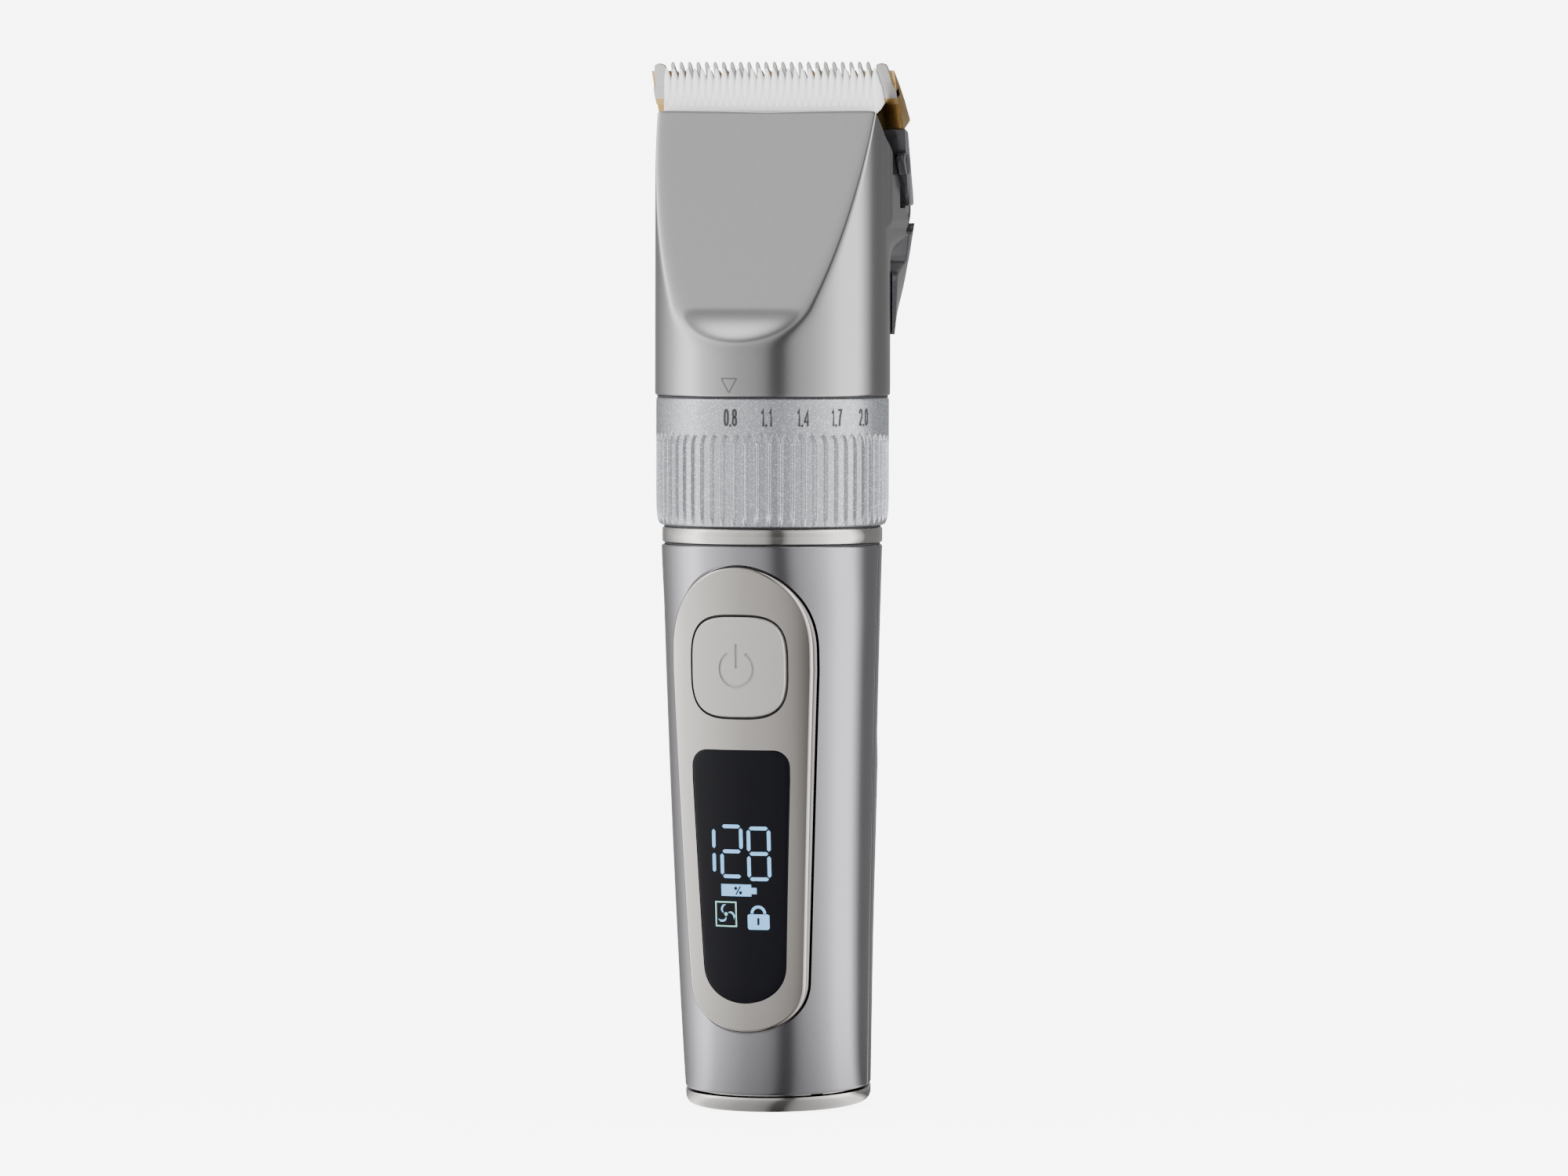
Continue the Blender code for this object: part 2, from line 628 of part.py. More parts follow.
def ledge_height(degrees):
    """Face cam, repeated twice a turn: it falls by the adjuster's stroke over the travel."""
    turn = degrees % 180
    if turn > RETURN_END:
        return LEDGE_TOP
    if turn <= FALL_END:
        strokes = turn / DIAL_TRAVEL
    else:
        strokes = FALL_END / DIAL_TRAVEL * (RETURN_END - turn) / (RETURN_END - FALL_END)
    return LEDGE_TOP - SHIFT_Z * strokes


def build_dial():
    low, high = COLLAR_TOP + HALF_GAP, DIAL_TOP - HALF_GAP
    # (z, radius, fluted); z None follows the face cam
    profile = [(low, DIAL_RADIUS - 0.8, False), (low + 0.7, DIAL_RADIUS - 0.25, False),
               (low + 2.6, DIAL_RADIUS, True), (FLUTE_TOP - 1.2, DIAL_RADIUS, True),
               (FLUTE_TOP, DIAL_RADIUS, False), (high, DIAL_RADIUS - 0.02, False),
               (high, DIAL_INNER, False), (None, DIAL_INNER, False),
               (None, LEDGE_INNER, False), (low, LEDGE_INNER, False)]
    count = FLUTES * 2
    rings = []
    for z, radius, fluted in profile:
        ring = []
        for i in range(count):
            degrees = 360 * i / count
            depth = FLUTE_DEPTH if fluted and i % 2 else 0
            ring.append(polar(radius - depth, degrees, ledge_height(degrees) if z is None else z))
        rings.append(ring)
    return add_object("adjust_dial", *loop_mesh(rings), DIAL)


adjust_dial = build_dial()

# ---- pusher: ring that rides the face cam, with two arms up into the head ------------------
PUSHER_INNER, PUSHER_OUTER = 14.95, 16.3
PUSHER_LOW, PUSHER_TOP = 114.0, 117.0
FOOT_TOP, ARM_TOP = 115.5, 151.2

adjust_pusher = turned_ring("adjust_pusher",
                            [(PUSHER_OUTER, PUSHER_LOW), (PUSHER_OUTER, PUSHER_TOP),
                             (PUSHER_INNER, PUSHER_TOP), (PUSHER_INNER, PUSHER_LOW)], 48, NYLON)
for side_name, side in SIDES:
    x_low, x_high = side_span(side, 15.05, 16.25)
    unite(adjust_pusher,
          box("pusher_foot_" + side_name, (x_low, -1.4, LEDGE_TOP + GAP), (x_high, 1.4, FOOT_TOP)),
          box("pusher_arm_" + side_name, (x_low, -3.0, FOOT_TOP), (x_high, 3.0, ARM_TOP)))
# zigzag spring over the rear of the ring
wire("pusher_spring", [(15.6 * math.cos(angle), 15.6 * math.sin(angle), 118.0 + 1.4 * (i % 2))
                       for i, angle in enumerate(arc(30, 150, 13))], 0.35, 6, STEEL)

# ---- head shell ------------------------------------------------------------------------
# distance of each plane parallel to the skin from the origin
HEAD_PLANE, CARRIER_PLANE, SKIN_PLANE = 119.7, 120.05, 126.66
BOSS_SPAN = 41.5               # degrees from +X and -X to the rear edge of each side boss
HEAD_DEGREES = [
    0, 6, 12, 18, 24, 30, 36, 41, 42, 52, 64, 77, 90, 103, 116, 128, 138, 139, 144, 150, 156,
    162, 168, 174, 180, 184, 188, 192, 197, 203, 209, 215, 221, 228, 235, 243, 252, 261, 270,
    279, 288, 297, 305, 312, 319, 325, 331, 337, 343, 348, 352, 356]
HEAD_HEIGHTS = [DIAL_TOP + HALF_GAP, 126.5, 130.6, 132, 133.5, FACET_FOOT, 139, 142, 145,
                147.5, 150, 153, 157, 161, 165, 168, HEAD_TOP]


def facet_depth(z):
    """Distance of the slanted front face from the axis, scooped out below its foot."""
    below = max(0.0, FACET_FOOT - z)
    return FACET_TOP + (HEAD_TOP - z) * FACET_SLOPE + SCOOP_CURVE * below * below


def boxy_radius(degrees):
    """Squared-off rear outline shared by the head's side bosses and the rear cover."""
    cosine = abs(math.cos(math.radians(degrees)))
    sine = math.sin(math.radians(degrees))
    side = 20.2 / (cosine + 0.104 * sine)
    back = 23.2 / max(sine, 1e-3)
    return (side ** -24 + back ** -24) ** (-1 / 24)


def in_boss(degrees):
    return degrees <= 180 and min(degrees, 180 - degrees) < BOSS_SPAN


def head_outer(degrees, z):
    sine = math.sin(math.radians(degrees))
    radius = HEAD_RADIUS
    if in_boss(degrees):
        bulge = max(boxy_radius(degrees) - HEAD_RADIUS, 0)
        radius += bulge * smooth(144.4, 149.0, z) * smooth(1, 10, min(degrees, 180 - degrees))
    if sine < 0:
        radius = min(radius, facet_depth(z) / -sine)
    return radius


def head_inner(degrees, z):
    sine = math.sin(math.radians(degrees))
    radius = HEAD_RADIUS - HEAD_WALL
    if in_boss(degrees) and z > 146:
        flat = 17.7 / abs(math.cos(math.radians(degrees)))
        radius = max(radius, min(flat, head_outer(degrees, z) - 1.0))
    if sine < 0:
        wall = 0.9 + 0.7 * clamp01((HEAD_TOP - z) / 8)
        radius = min(radius, (facet_depth(z) - wall) / -sine)
    return radius


def skin_plane_y(z, distance):
    """Y at height z on a plane parallel to the skin; the factors are its rounded normal."""
    return (distance - 0.719 * z) / 0.695


def build_head():
    outer, inner = ([[polar(rule(degrees, z), degrees, z) for degrees in HEAD_DEGREES]
                     for z in HEAD_HEIGHTS] for rule in (head_outer, head_inner))
    head = add_object("head_shell", *sheet_mesh(outer, inner, closed=True), GUNMETAL, angle=25)
    high, low = 175, 153.2
    slope = [(skin_plane_y(high, HEAD_PLANE), high), (skin_plane_y(low, HEAD_PLANE), low),
             (30, low), (30, high)]
    cut(head, extrude_x("slope_cut", slope, -30, 30),
        box("hinge_opening", (-17.6, 11.5, 148.7), (17.6, 30, high)))


build_head()


def hinge_bar(name, half, radius, segments, mat=None):
    """Round bar along the hinge axis."""
    return round_bar(name, (-half, PIVOT_Y, PIVOT_Z), (half, PIVOT_Y, PIVOT_Z),
                     radius, segments, mat)


# ---- rear cover below the hinge ------------------------------------------------------------
COVER_HEIGHTS = (131.6, 132.6, 134.5, 137, 140, 141.5, 142.5, 143.5, 145, 148, 150.6)
COVER_COLUMNS = 27
COVER_INNER, COVER_FOOT_RADIUS = 20.4, 20.75


def build_cover():
    outer, inner = [], []
    for z in COVER_HEIGHTS:
        start = 22 + 21 * smooth(141.2, 144.5, z)
        swell = ((z - 131.3) / 19.5) ** 0.42
        outer_row, inner_row = [], []
        for i in range(COVER_COLUMNS):
            degrees = start + (180 - 2 * start) * i / (COVER_COLUMNS - 1)
            full = max(boxy_radius(degrees), 20.9)
            radius = COVER_FOOT_RADIUS + (full - COVER_FOOT_RADIUS) * swell
            outer_row.append(polar(radius, degrees, z))
            inner_row.append(polar(COVER_INNER, degrees, z))
        outer.append(outer_row)
        inner.append(inner_row)
    cover = add_object("rear_hinge_cover", *sheet_mesh(outer, inner, closed=False), SMOKE)
    cut(cover, hinge_bar("cover_seat", 30, BARREL_RADIUS + 0.4, 40))


build_cover()


# ---- cassette coordinates ------------------------------------------------------------------
# "down" runs down the sliding plane from the tips, "out" runs from it towards the skin
def cassette(down, out):
    cosine, sine = math.cos(BLADE_TILT), math.sin(BLADE_TILT)
    return (TIP_Y + sine * down + cosine * out, TIP_Z - cosine * down + sine * out)


def cassette_point(x, down, out):
    return (x, *cassette(down, out))


def cassette_outline(points):
    return [cassette(down, out) for down, out in points]


def cassette_ring(x, half, down, out_a, out_b):
    """Rectangle across the sliding plane, centred on x."""
    return [cassette_point(x - half, down, out_a), cassette_point(x + half, down, out_a),
            cassette_point(x + half, down, out_b), cassette_point(x - half, down, out_b)]


def tooth(x, half, tip_half, tip, root, tip_outs, root_outs):
    """Mesh of one tooth between two down values; outs are the out values of its two faces."""
    return rings_mesh([
        cassette_ring(x, tip_half, tip, tip_outs[0] + 0.12, tip_outs[1] - 0.1),
        cassette_ring(x, half * 0.8, tip + 0.7, *tip_outs),
        cassette_ring(x, half, root, *root_outs)])


def tooth_places(count, pitch):
    return [(i - (count - 1) / 2) * pitch for i in range(count)]


# ---- fixed blade: comb of teeth on a wedge, with a tongue behind the moving blade --------------
FIXED_TEETH, FIXED_PITCH = 24, 1.54
FIXED_FACE = 0.02              # the blade's sliding face, just off the sliding plane
FIXED_HALF = 22.0
TOOTH_ROOT = 6.0


def wedge_thickness(down):
    """Thickness of the wedge between sliding plane and skin plane."""
    return 0.75 + (down - 0.6) * math.tan(SKIN_TILT - BLADE_TILT) * 0.93


def build_fixed_blade():
    wedge = cassette_outline([(5.5, FIXED_FACE), (13, FIXED_FACE),
                              (13, wedge_thickness(13) * 0.93), (9, wedge_thickness(9)),
                              (5.5, wedge_thickness(5.5))])
    tongue = cassette_outline([(12, FIXED_FACE), (22, FIXED_FACE), (22, 1.2), (12, 1.2)])
    root_outs = (0.05, wedge_thickness(5.6) - 0.05)
    teeth = [tooth(x, half=0.5, tip_half=0.22, tip=0, root=TOOTH_ROOT,
                   tip_outs=(FIXED_FACE, 0.8), root_outs=root_outs)
             for x in tooth_places(FIXED_TEETH, FIXED_PITCH)]
    # one broad tooth at each end of the comb
    teeth += [tooth(side * 20.1, half=1.5, tip_half=0.9, tip=0.5, root=TOOTH_ROOT,
                    tip_outs=(FIXED_FACE, 0.9), root_outs=root_outs) for side in (-1, 1)]
    blade = extrude_x("fixed_blade", wedge, -FIXED_HALF, FIXED_HALF, GOLD)
    unite(blade, extrude_x("blade_tongue", tongue, -15, 15),
          add_object("fixed_teeth", *merge_meshes(teeth)))
    return blade


fixed_blade = build_fixed_blade()

# ---- moving ceramic blade ----------------------------------------------------------------------
MOVING_TEETH, MOVING_PITCH = 30, 1.3
TIP_GAP = 1.1                  # moving tips behind the fixed tips at the shortest setting
CERAMIC_FACE, CERAMIC_BACK = -0.13, -3.5
CERAMIC_ROOT = TIP_GAP + 3.3
# (half width, down, out of the back)
CERAMIC_SECTIONS = [(19.6, CERAMIC_ROOT, CERAMIC_BACK + 0.4), (19.7, 7.6, CERAMIC_BACK),
                    (19.0, 8.1, CERAMIC_BACK), (14.4, 9.2, CERAMIC_BACK),
                    (14.4, 16.9, CERAMIC_BACK)]

moving_blade = add_object("moving_blade", *rings_mesh([
    cassette_ring(0, half, down, CERAMIC_FACE, back) for half, down, back in CERAMIC_SECTIONS
]), CERAMIC)
unite(moving_blade, add_object("moving_teeth", *merge_meshes([
    tooth(x, half=0.45, tip_half=0.15, tip=TIP_GAP, root=CERAMIC_ROOT + 0.3,
          tip_outs=(-0.15, -1.1), root_outs=(-0.18, CERAMIC_BACK + 0.55))
    for x in tooth_places(MOVING_TEETH, MOVING_PITCH)])))

# ---- drive follower: bridge on the ceramic blade, two legs either side of the eccentric pin ------
FOLLOWER_OUT = CERAMIC_BACK - 0.15
FOLLOWER_HALF = 6.0
follower_outline = [cassette(10.6, FOLLOWER_OUT), cassette(10.6, FOLLOWER_OUT - 1.1),
                    cassette(15.5, FOLLOWER_OUT - 1.3), (-1.4, 157.5), (-1.4, 145.4),
                    (2.0, 145.4), (2.0, 155.5), cassette(17.6, FOLLOWER_OUT)]
drive_follower = extrude_x("drive_follower", follower_outline, -FOLLOWER_HALF, FOLLOWER_HALF,
                           NYLON)
cut(drive_follower, box("fork_slot", (-4.3, -6, 140), (4.3, 8, 153.6)))

# ---- slide that carries the moving blade up and down ----------------------------------------------
SLIDE_BAR = cassette_outline([(17.35, -1.3), (19.6, -1.3), (19.6, -3.2), (17.35, -3.2)])
SLIDE_RAIL = cassette_outline([(11, -0.5), (19.4, -0.5), (19.4, -3.1), (11, -3.1)])
SLIDE_LEG = [(1.2, 161.0), (1.2, 151.55), (4.4, 151.55), (5.6, 160.0)]

blade_slide = extrude_x("blade_slide", SLIDE_BAR, -17.4, 17.4, BLACK)
for side_name, side in SIDES:
    unite(blade_slide,
          extrude_x("slide_rail_" + side_name, SLIDE_RAIL, *side_span(side, 16.1, 17.3)),
          extrude_x("slide_leg_" + side_name, SLIDE_LEG, *side_span(side, 13.4, 16.6)))

# ---- blade carrier with its hinge barrel and pin ----------------------------------------------------
PIN_RADIUS = 1.0
CARRIER_TOP = 166.0
CARRIER_FOOT = 153.6


def barrel_point(degrees):
    angle = math.radians(degrees)
    return (PIVOT_Y + BARREL_RADIUS * math.cos(angle), PIVOT_Z + BARREL_RADIUS * math.sin(angle))


def build_carrier():
    outline = [cassette(13.35, 1.55),
               (skin_plane_y(CARRIER_TOP, SKIN_PLANE) - 0.15, CARRIER_TOP + 0.35),
               barrel_point(46), barrel_point(28), barrel_point(7),
               (skin_plane_y(CARRIER_FOOT, CARRIER_PLANE), CARRIER_FOOT), (10.6, 156.72)]
    # the half width shrinks towards the rear
    rings = [[(side * (22.0 - (y - 6) * 0.30), y, z) for y, z in outline] for side in (-1, 1)]
    carrier = add_object("blade_carrier", *rings_mesh(rings), SMOKE)
    unite(carrier, hinge_bar("carrier_barrel", 17.2, BARREL_RADIUS, 32))
    cut(carrier, hinge_bar("pin_bore", 18.3, PIN_RADIUS + 0.15, 16))
    return carrier


blade_carrier = build_carrier()
hinge_bar("hinge_pin", 17.9, PIN_RADIUS, 16, STEEL)

# ---- blade screws, from the sliding side through the tongue into the carrier ---------------------------
BLADE_SCREW_X, BLADE_SCREW_DOWN = 12.0, 20.9


def screw_bar(name, side, outs, radius, segments, mat=None):
    """Round bar on one blade screw's axis between two out values."""
    start, end = (cassette_point(side * BLADE_SCREW_X, BLADE_SCREW_DOWN, out) for out in outs)
    return round_bar(name, start, end, radius, segments, mat)


blade_screws = []
for side_name, side in SIDES:
    screw = screw_bar("fixed_blade_screw_" + side_name, side, (-0.9, -0.28), 1.7, 14, STEEL)
    unite(screw, screw_bar("screw_shank_" + side_name, side, (-0.5, 4.6), 0.85, 12))
    hole = screw_bar("screw_hole_" + side_name, side, (-2, 5.2), 1.15, 12)
    cut(fixed_blade, hole)
    cut(blade_carrier, hole)
    blade_screws.append(screw)

# ---- tension spring: bent wire from the carrier's underside to the drive follower -------------------------
# (x, down, out) of one half, from the carrier to the follower
SPRING_HALF = [(10.5, 23.9, 0.2), (10.5, 23.0, -5.3), (9, 15, -5.7), (6, 12.6, -5.7)]
spring_points = [cassette_point(-x, down, out) for x, down, out in SPRING_HALF]
spring_points += [cassette_point(*point) for point in reversed(SPRING_HALF)]
tension_spring = wire("tension_spring", spring_points, 0.4, 8, STEEL)

# ---- joints -------------------------------------------------------------------------------------
joint("cassette_pivot_axis", (0, PIVOT_Y, PIVOT_Z),
      blade_carrier, fixed_blade, tension_spring, *blade_screws)
joint("blade_shift_axis", (0, TIP_Y, TIP_Z), blade_slide, moving_blade, drive_follower)
joint("drive_axis", (0, 0, 124), motor_shaft, drive_cam)
joint("dial_axis", (0, 0, COLLAR_TOP), adjust_dial)
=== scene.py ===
"""Cordless hair trimmer standing upright on its base cap.

Sizes are in mm and are scaled to metres when a mesh is made. +z is up, the button
panel and the blade tips face -y, and +x is to the right seen from the front. On the
handle, s is the height along the slightly bent axis. On the blade cassette, L runs
down from the tooth tips and w runs out of the cassette's plane, to the rear.
"""
import math

import bmesh
import bpy
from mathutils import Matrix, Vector


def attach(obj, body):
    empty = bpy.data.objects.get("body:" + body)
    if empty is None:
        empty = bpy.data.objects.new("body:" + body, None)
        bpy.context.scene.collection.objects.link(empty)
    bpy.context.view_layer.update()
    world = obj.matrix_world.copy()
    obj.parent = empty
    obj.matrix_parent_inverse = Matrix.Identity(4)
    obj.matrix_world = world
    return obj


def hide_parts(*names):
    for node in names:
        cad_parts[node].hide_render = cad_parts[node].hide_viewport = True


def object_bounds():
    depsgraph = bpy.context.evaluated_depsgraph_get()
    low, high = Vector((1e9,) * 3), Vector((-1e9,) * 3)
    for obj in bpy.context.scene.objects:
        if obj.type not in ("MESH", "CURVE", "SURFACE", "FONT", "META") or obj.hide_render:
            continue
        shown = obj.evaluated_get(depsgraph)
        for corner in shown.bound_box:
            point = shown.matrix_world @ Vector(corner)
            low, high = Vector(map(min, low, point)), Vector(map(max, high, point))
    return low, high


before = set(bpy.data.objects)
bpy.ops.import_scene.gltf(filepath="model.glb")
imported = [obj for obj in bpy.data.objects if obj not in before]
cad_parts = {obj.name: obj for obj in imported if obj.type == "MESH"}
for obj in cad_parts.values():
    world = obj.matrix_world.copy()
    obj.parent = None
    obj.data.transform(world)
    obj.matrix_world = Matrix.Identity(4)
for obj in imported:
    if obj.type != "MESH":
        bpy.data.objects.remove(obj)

CAD_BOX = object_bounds()
MM = 0.001

# heights of the stacked parts
CAP_SEAM = 2.7
HANDLE_TOP = 96.0
COLLAR_TOP = 99.05
FLUTE_TOP = 114.9
DIAL_TOP = 121.1
HEAD_TOP = 170.3
SEAM = 0.15              # each part stops this far short of a seam

# handle
BASE_TILT = 0.075        # slope of the underside, rising to the rear
BASE_RADIUS, TOP_RADIUS = 15.75, 18.8
HANDLE_FLAT = 1.2        # how much the front is flattened
FINGER_REST = 2.2        # swelling at the rear
WALL = 1.8

# radii above the handle
COLLAR_RADIUS = TOP_RADIUS
DIAL_RADIUS = 19.9
HEAD_RADIUS = 20.1

# flat front of the head: distance from the axis at the top, growth per mm down,
# and the extra curve below its foot
FACET_TOP, FACET_SLOPE, FACET_FOOT, SCOOP = 3.2, 0.372, 136.7, 0.0600

# button panel, power key and display window on the handle's front
PANEL_LOW, PANEL_HIGH, PANEL_HALF = 13.8, 92.6, 12.7
PANEL_SAG = 34.0         # radius of the panel's hollow across x
BUTTON_Z, BUTTON_HALF = 75.7, 8.4
BUTTON_SINK = 0.5        # the key's face below the panel's
KEY_GAP = 0.42
WINDOW_LOW, WINDOW_HIGH = 18.9, 61.7

# blade cassette
BLADE_TILT, SKIN_TILT = math.radians(27), math.radians(46)
TIP_Y, TIP_Z = -1.9, 178.0
CASSETTE_HALF = 22.0
PIVOT_Y, PIVOT_Z, BARREL = 18.1, 153.1, 4.0
# slanted planes SLANT_Y * y + SLANT_Z * z = offset, with their offsets
SLANT_Y, SLANT_Z = 0.695, 0.719
HEAD_SLANT, CARRIER_SLANT, SKIN_SLANT = 119.7, 120.05, 126.66

MARK = math.radians(-91.6)   # direction of the pointer over the dial


# ---------------------------------------------------------------- shader helpers
def wire(target, inputs):
    """Set each input of a shader node, by a link if the value is a socket."""
    for key, value in inputs.items():
        if isinstance(value, bpy.types.NodeSocket):
            target.id_data.links.new(value, target.inputs[key])
        else:
            target.inputs[key].default_value = value


def node(tree, kind, inputs=None, **settings):
    new = tree.nodes.new("ShaderNode" + kind)
    for key, value in settings.items():
        setattr(new, key, value)
    wire(new, inputs or {})
    return new


def mix_colours(tree, factor, first, second):
    return node(tree, "Mix", {0: factor, 6: first, 7: second}, data_type="RGBA").outputs[2]


def calc(tree, operation, first, second=None):
    inputs = {0: first} if second is None else {0: first, 1: second}
    return node(tree, "Math", inputs, operation=operation).outputs[0]


def grey_ramp(tree, factor, stops, interpolation="LINEAR"):
    """Colour ramp through (position, brightness) stops."""
    ramp = node(tree, "ValToRGB", {"Fac": factor})
    ramp.color_ramp.interpolation = interpolation
    elements = ramp.color_ramp.elements
    while len(elements) < len(stops):
        elements.new(0.5)
    for element, (position, grey) in zip(elements, stops):
        element.position = position
        element.color = (grey, grey, grey, 1)
    return ramp.outputs["Color"]


# ---------------------------------------------------------------- materials
def surface(name, colour, rough, metal=0.0, vary=0.06, rough_vary=0.06, scale=900.0,
            bump=0.02, stretch=(1, 1, 1), coat=0.0, spec=0.5, edge=None):
    """Principled finish with mottled colour and roughness, a fine bump and, if an edge colour is
    given, a painted edge highlight: sharp edges, found by pointiness, are lightened towards that
    colour."""
    material = bpy.data.materials.new(name)
    material.use_nodes = True
    tree = material.node_tree
    shader = tree.nodes["Principled BSDF"]
    coords = node(tree, "TexCoord").outputs["Object"]
    mapped = node(tree, "Mapping", {"Vector": coords, "Scale": stretch}).outputs["Vector"]
    mottle = node(tree, "TexNoise", {"Vector": mapped, "Scale": scale, "Detail": 4})
    if bump:
        grain = node(tree, "TexNoise", {"Vector": mapped, "Scale": 2600.0, "Detail": 2})
        bumps = node(tree, "Bump", {"Strength": bump, "Distance": 0.00005,
                                    "Height": grain.outputs["Fac"]})
        wire(shader, {"Normal": bumps.outputs["Normal"]})
    clouds = node(tree, "TexNoise", {"Vector": coords, "Scale": 60.0})
    dark = [max(0, c * (1 - vary)) for c in colour]
    light = [min(1, c * (1 + vary)) for c in colour]
    tint = mix_colours(tree, mottle.outputs["Fac"], (*dark, 1), (*light, 1))
    if edge:
        # painted highlight: high pointiness on sharp edges moves the colour to the lighter edge
        # colour
        pointiness = node(tree, "NewGeometry").outputs["Pointiness"]
        edge_highlight_mask = grey_ramp(tree, pointiness, [(0.56, 0), (0.66, 1)])
        tint = mix_colours(tree, edge_highlight_mask, tint, (*edge, 1))
    spread = node(tree, "MapRange", {"Value": clouds.outputs["Fac"],
                                     "To Min": max(0.02, rough - rough_vary),
                                     "To Max": rough + rough_vary})
    wire(shader, {"Base Color": tint, "Roughness": spread.outputs["Result"],
                  "Metallic": metal, "Specular IOR Level": spec,
                  "Coat Weight": coat, "Coat Roughness": 0.06})
    return material


def base_colour(material):
    """The shader of a finish and the socket that feeds its colour."""
    shader = material.node_tree.nodes["Principled BSDF"]
    return shader, shader.inputs["Base Color"].links[0].from_socket


def sparkle(name, colour, rough):
    """Silver paint: bright flakes picked out by a fine cell pattern."""
    material = surface(name, colour, rough, metal=0.75, vary=0.05, bump=0.0)
    tree = material.node_tree
    shader, paint = base_colour(material)
    coords = node(tree, "TexCoord").outputs["Object"]
    cells = node(tree, "TexVoronoi", {"Scale": 9000, "Vector": coords})
    parts = node(tree, "SeparateColor", {"Color": cells.outputs["Color"]})
    flakes = grey_ramp(tree, parts.outputs[0], [(0.86, 0), (1.0, 1)])
    bumps = node(tree, "Bump", {"Strength": 0.16, "Distance": 0.00003,
                                "Height": parts.outputs[1]})
    wire(shader, {"Base Color": mix_colours(tree, flakes, paint, (0.93, 0.94, 0.96, 1)),
                  "Normal": bumps.outputs["Normal"]})
    return material


def glow(name, colour, strength):
    material = surface(name, colour, rough=0.4, vary=0.08, bump=0.0, scale=1200)
    shader, tint = base_colour(material)
    wire(shader, {"Emission Color": tint, "Emission Strength": strength})
    return material


GUN = surface("satin_gunmetal", colour=(0.36, 0.35, 0.355), rough=0.20, metal=1.0,
              vary=0.03, rough_vary=0.03, bump=0.05)
HANDLE = surface("satin_gunmetal_handle", colour=(0.33, 0.32, 0.34), rough=0.19, metal=1.0,
                 vary=0.03, rough_vary=0.03, bump=0.05)
CHROME = surface("polished_nickel", colour=(0.60, 0.575, 0.555), rough=0.07, metal=1.0,
                 vary=0.02, rough_vary=0.02, bump=0.01)
NICKEL = surface("warm_nickel_panel", colour=(0.46, 0.435, 0.405), rough=0.14, metal=1.0,
                 vary=0.02, rough_vary=0.03, bump=0.03)
SILVER = sparkle("sparkle_silver", colour=(0.32, 0.335, 0.36), rough=0.25)
KEY = surface("button_satin", colour=(0.38, 0.37, 0.362), rough=0.34, metal=0.6,
              vary=0.02, rough_vary=0.02, bump=0.03)
LENS = surface("black_glass", colour=(0.0015, 0.0015, 0.003), rough=0.10,
               vary=0.2, rough_vary=0.02, bump=0.0, spec=0.16)
# edge: painted highlight that lightens the sharp edges of the smoked plastic
SMOKE = surface("smoky_gloss", colour=(0.026, 0.024, 0.028), rough=0.18, metal=0.3,
                vary=0.1, rough_vary=0.04, bump=0.01, coat=0.35, edge=(0.2, 0.19, 0.21))
# edge: painted highlight that lightens the sharp edges of the gold
GOLD = surface("titanium_gold", colour=(0.56, 0.35, 0.11), rough=0.23, metal=1.0, vary=0.14,
               scale=1500, bump=0.12, stretch=(1, 1, .15), edge=(0.9, 0.68, 0.35))
GROUND = surface("ground_steel", colour=(0.62, 0.61, 0.60), rough=0.28, metal=1.0,
                 vary=0.10, rough_vary=0.08, scale=2500, bump=0.18, stretch=(.06, 1, 1))
CERAMIC = surface("zirconia", colour=(0.89, 0.89, 0.895), rough=0.22,
                  vary=0.012, rough_vary=0.04, coat=0.25)
NYLON = surface("natural_nylon", colour=(0.78, 0.78, 0.75), rough=0.45, vary=0.04, bump=0.1)
BLACK = surface("moulded_black", colour=(0.022, 0.022, 0.024), rough=0.5,
                vary=0.2, bump=0.3, scale=1800)
STEEL = surface("bright_steel", colour=(0.55, 0.55, 0.56), rough=0.25, metal=1.0,
                vary=0.08, bump=0.1, stretch=(1, 1, .2))
BRASS = surface("turned_brass", colour=(0.65, 0.46, 0.19), rough=0.3, metal=1.0,
                vary=0.08, bump=0.1, stretch=(.1, .1, 1))
BOARD = surface("solder_mask", colour=(0.02, 0.14, 0.06), rough=0.4, vary=0.3, bump=0.2)
SLEEVE = surface("shrink_sleeve", colour=(0.04, 0.14, 0.36), rough=0.35, vary=0.1, bump=0.1)
RED = surface("insulation_red", colour=(0.45, 0.03, 0.03), rough=0.4)
RUBBER = surface("foam_rubber", colour=(0.07, 0.07, 0.07), rough=0.85,
                 vary=0.3, bump=0.8, scale=2500)
INK = surface("printed_grey_ink", colour=(0.018, 0.018, 0.02), rough=0.6,
              vary=0.15, bump=0.05)
SHADOW = surface("engraved_shadow", colour=(0.10, 0.10, 0.105), rough=0.35, metal=0.6,
                 vary=0.1, bump=0.0)
ICE = glow("display_ice_blue", colour=(0.13, 0.33, 0.58), strength=0.62)
MINT = glow("display_mint", colour=(0.22, 0.50, 0.44), strength=0.5)


# ---------------------------------------------------------------- mesh helpers
def add_mesh(name, mesh, material=None, body=None, angle=30):
    """Object from (vertices, faces) in mm, smooth up to the given edge angle."""
    verts, faces = mesh
    data = bpy.data.meshes.new(name)
    data.from_pydata([(x * MM, y * MM, z * MM) for x, y, z in verts], [], faces)
    bm = bmesh.new()
    bm.from_mesh(data)
    bmesh.ops.recalc_face_normals(bm, faces=bm.faces)
    bm.to_mesh(data)
    bm.free()
    o = bpy.data.objects.new(name, data)
    bpy.context.scene.collection.objects.link(o)
    if material:
        data.materials.append(material)
    data.shade_smooth()
    data.set_sharp_from_angle(angle=math.radians(angle))
    if body:
        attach(o, body)
    return o


def assign(o, body, replaces=None):
    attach(o, body)
    if replaces:
        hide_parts(replaces)


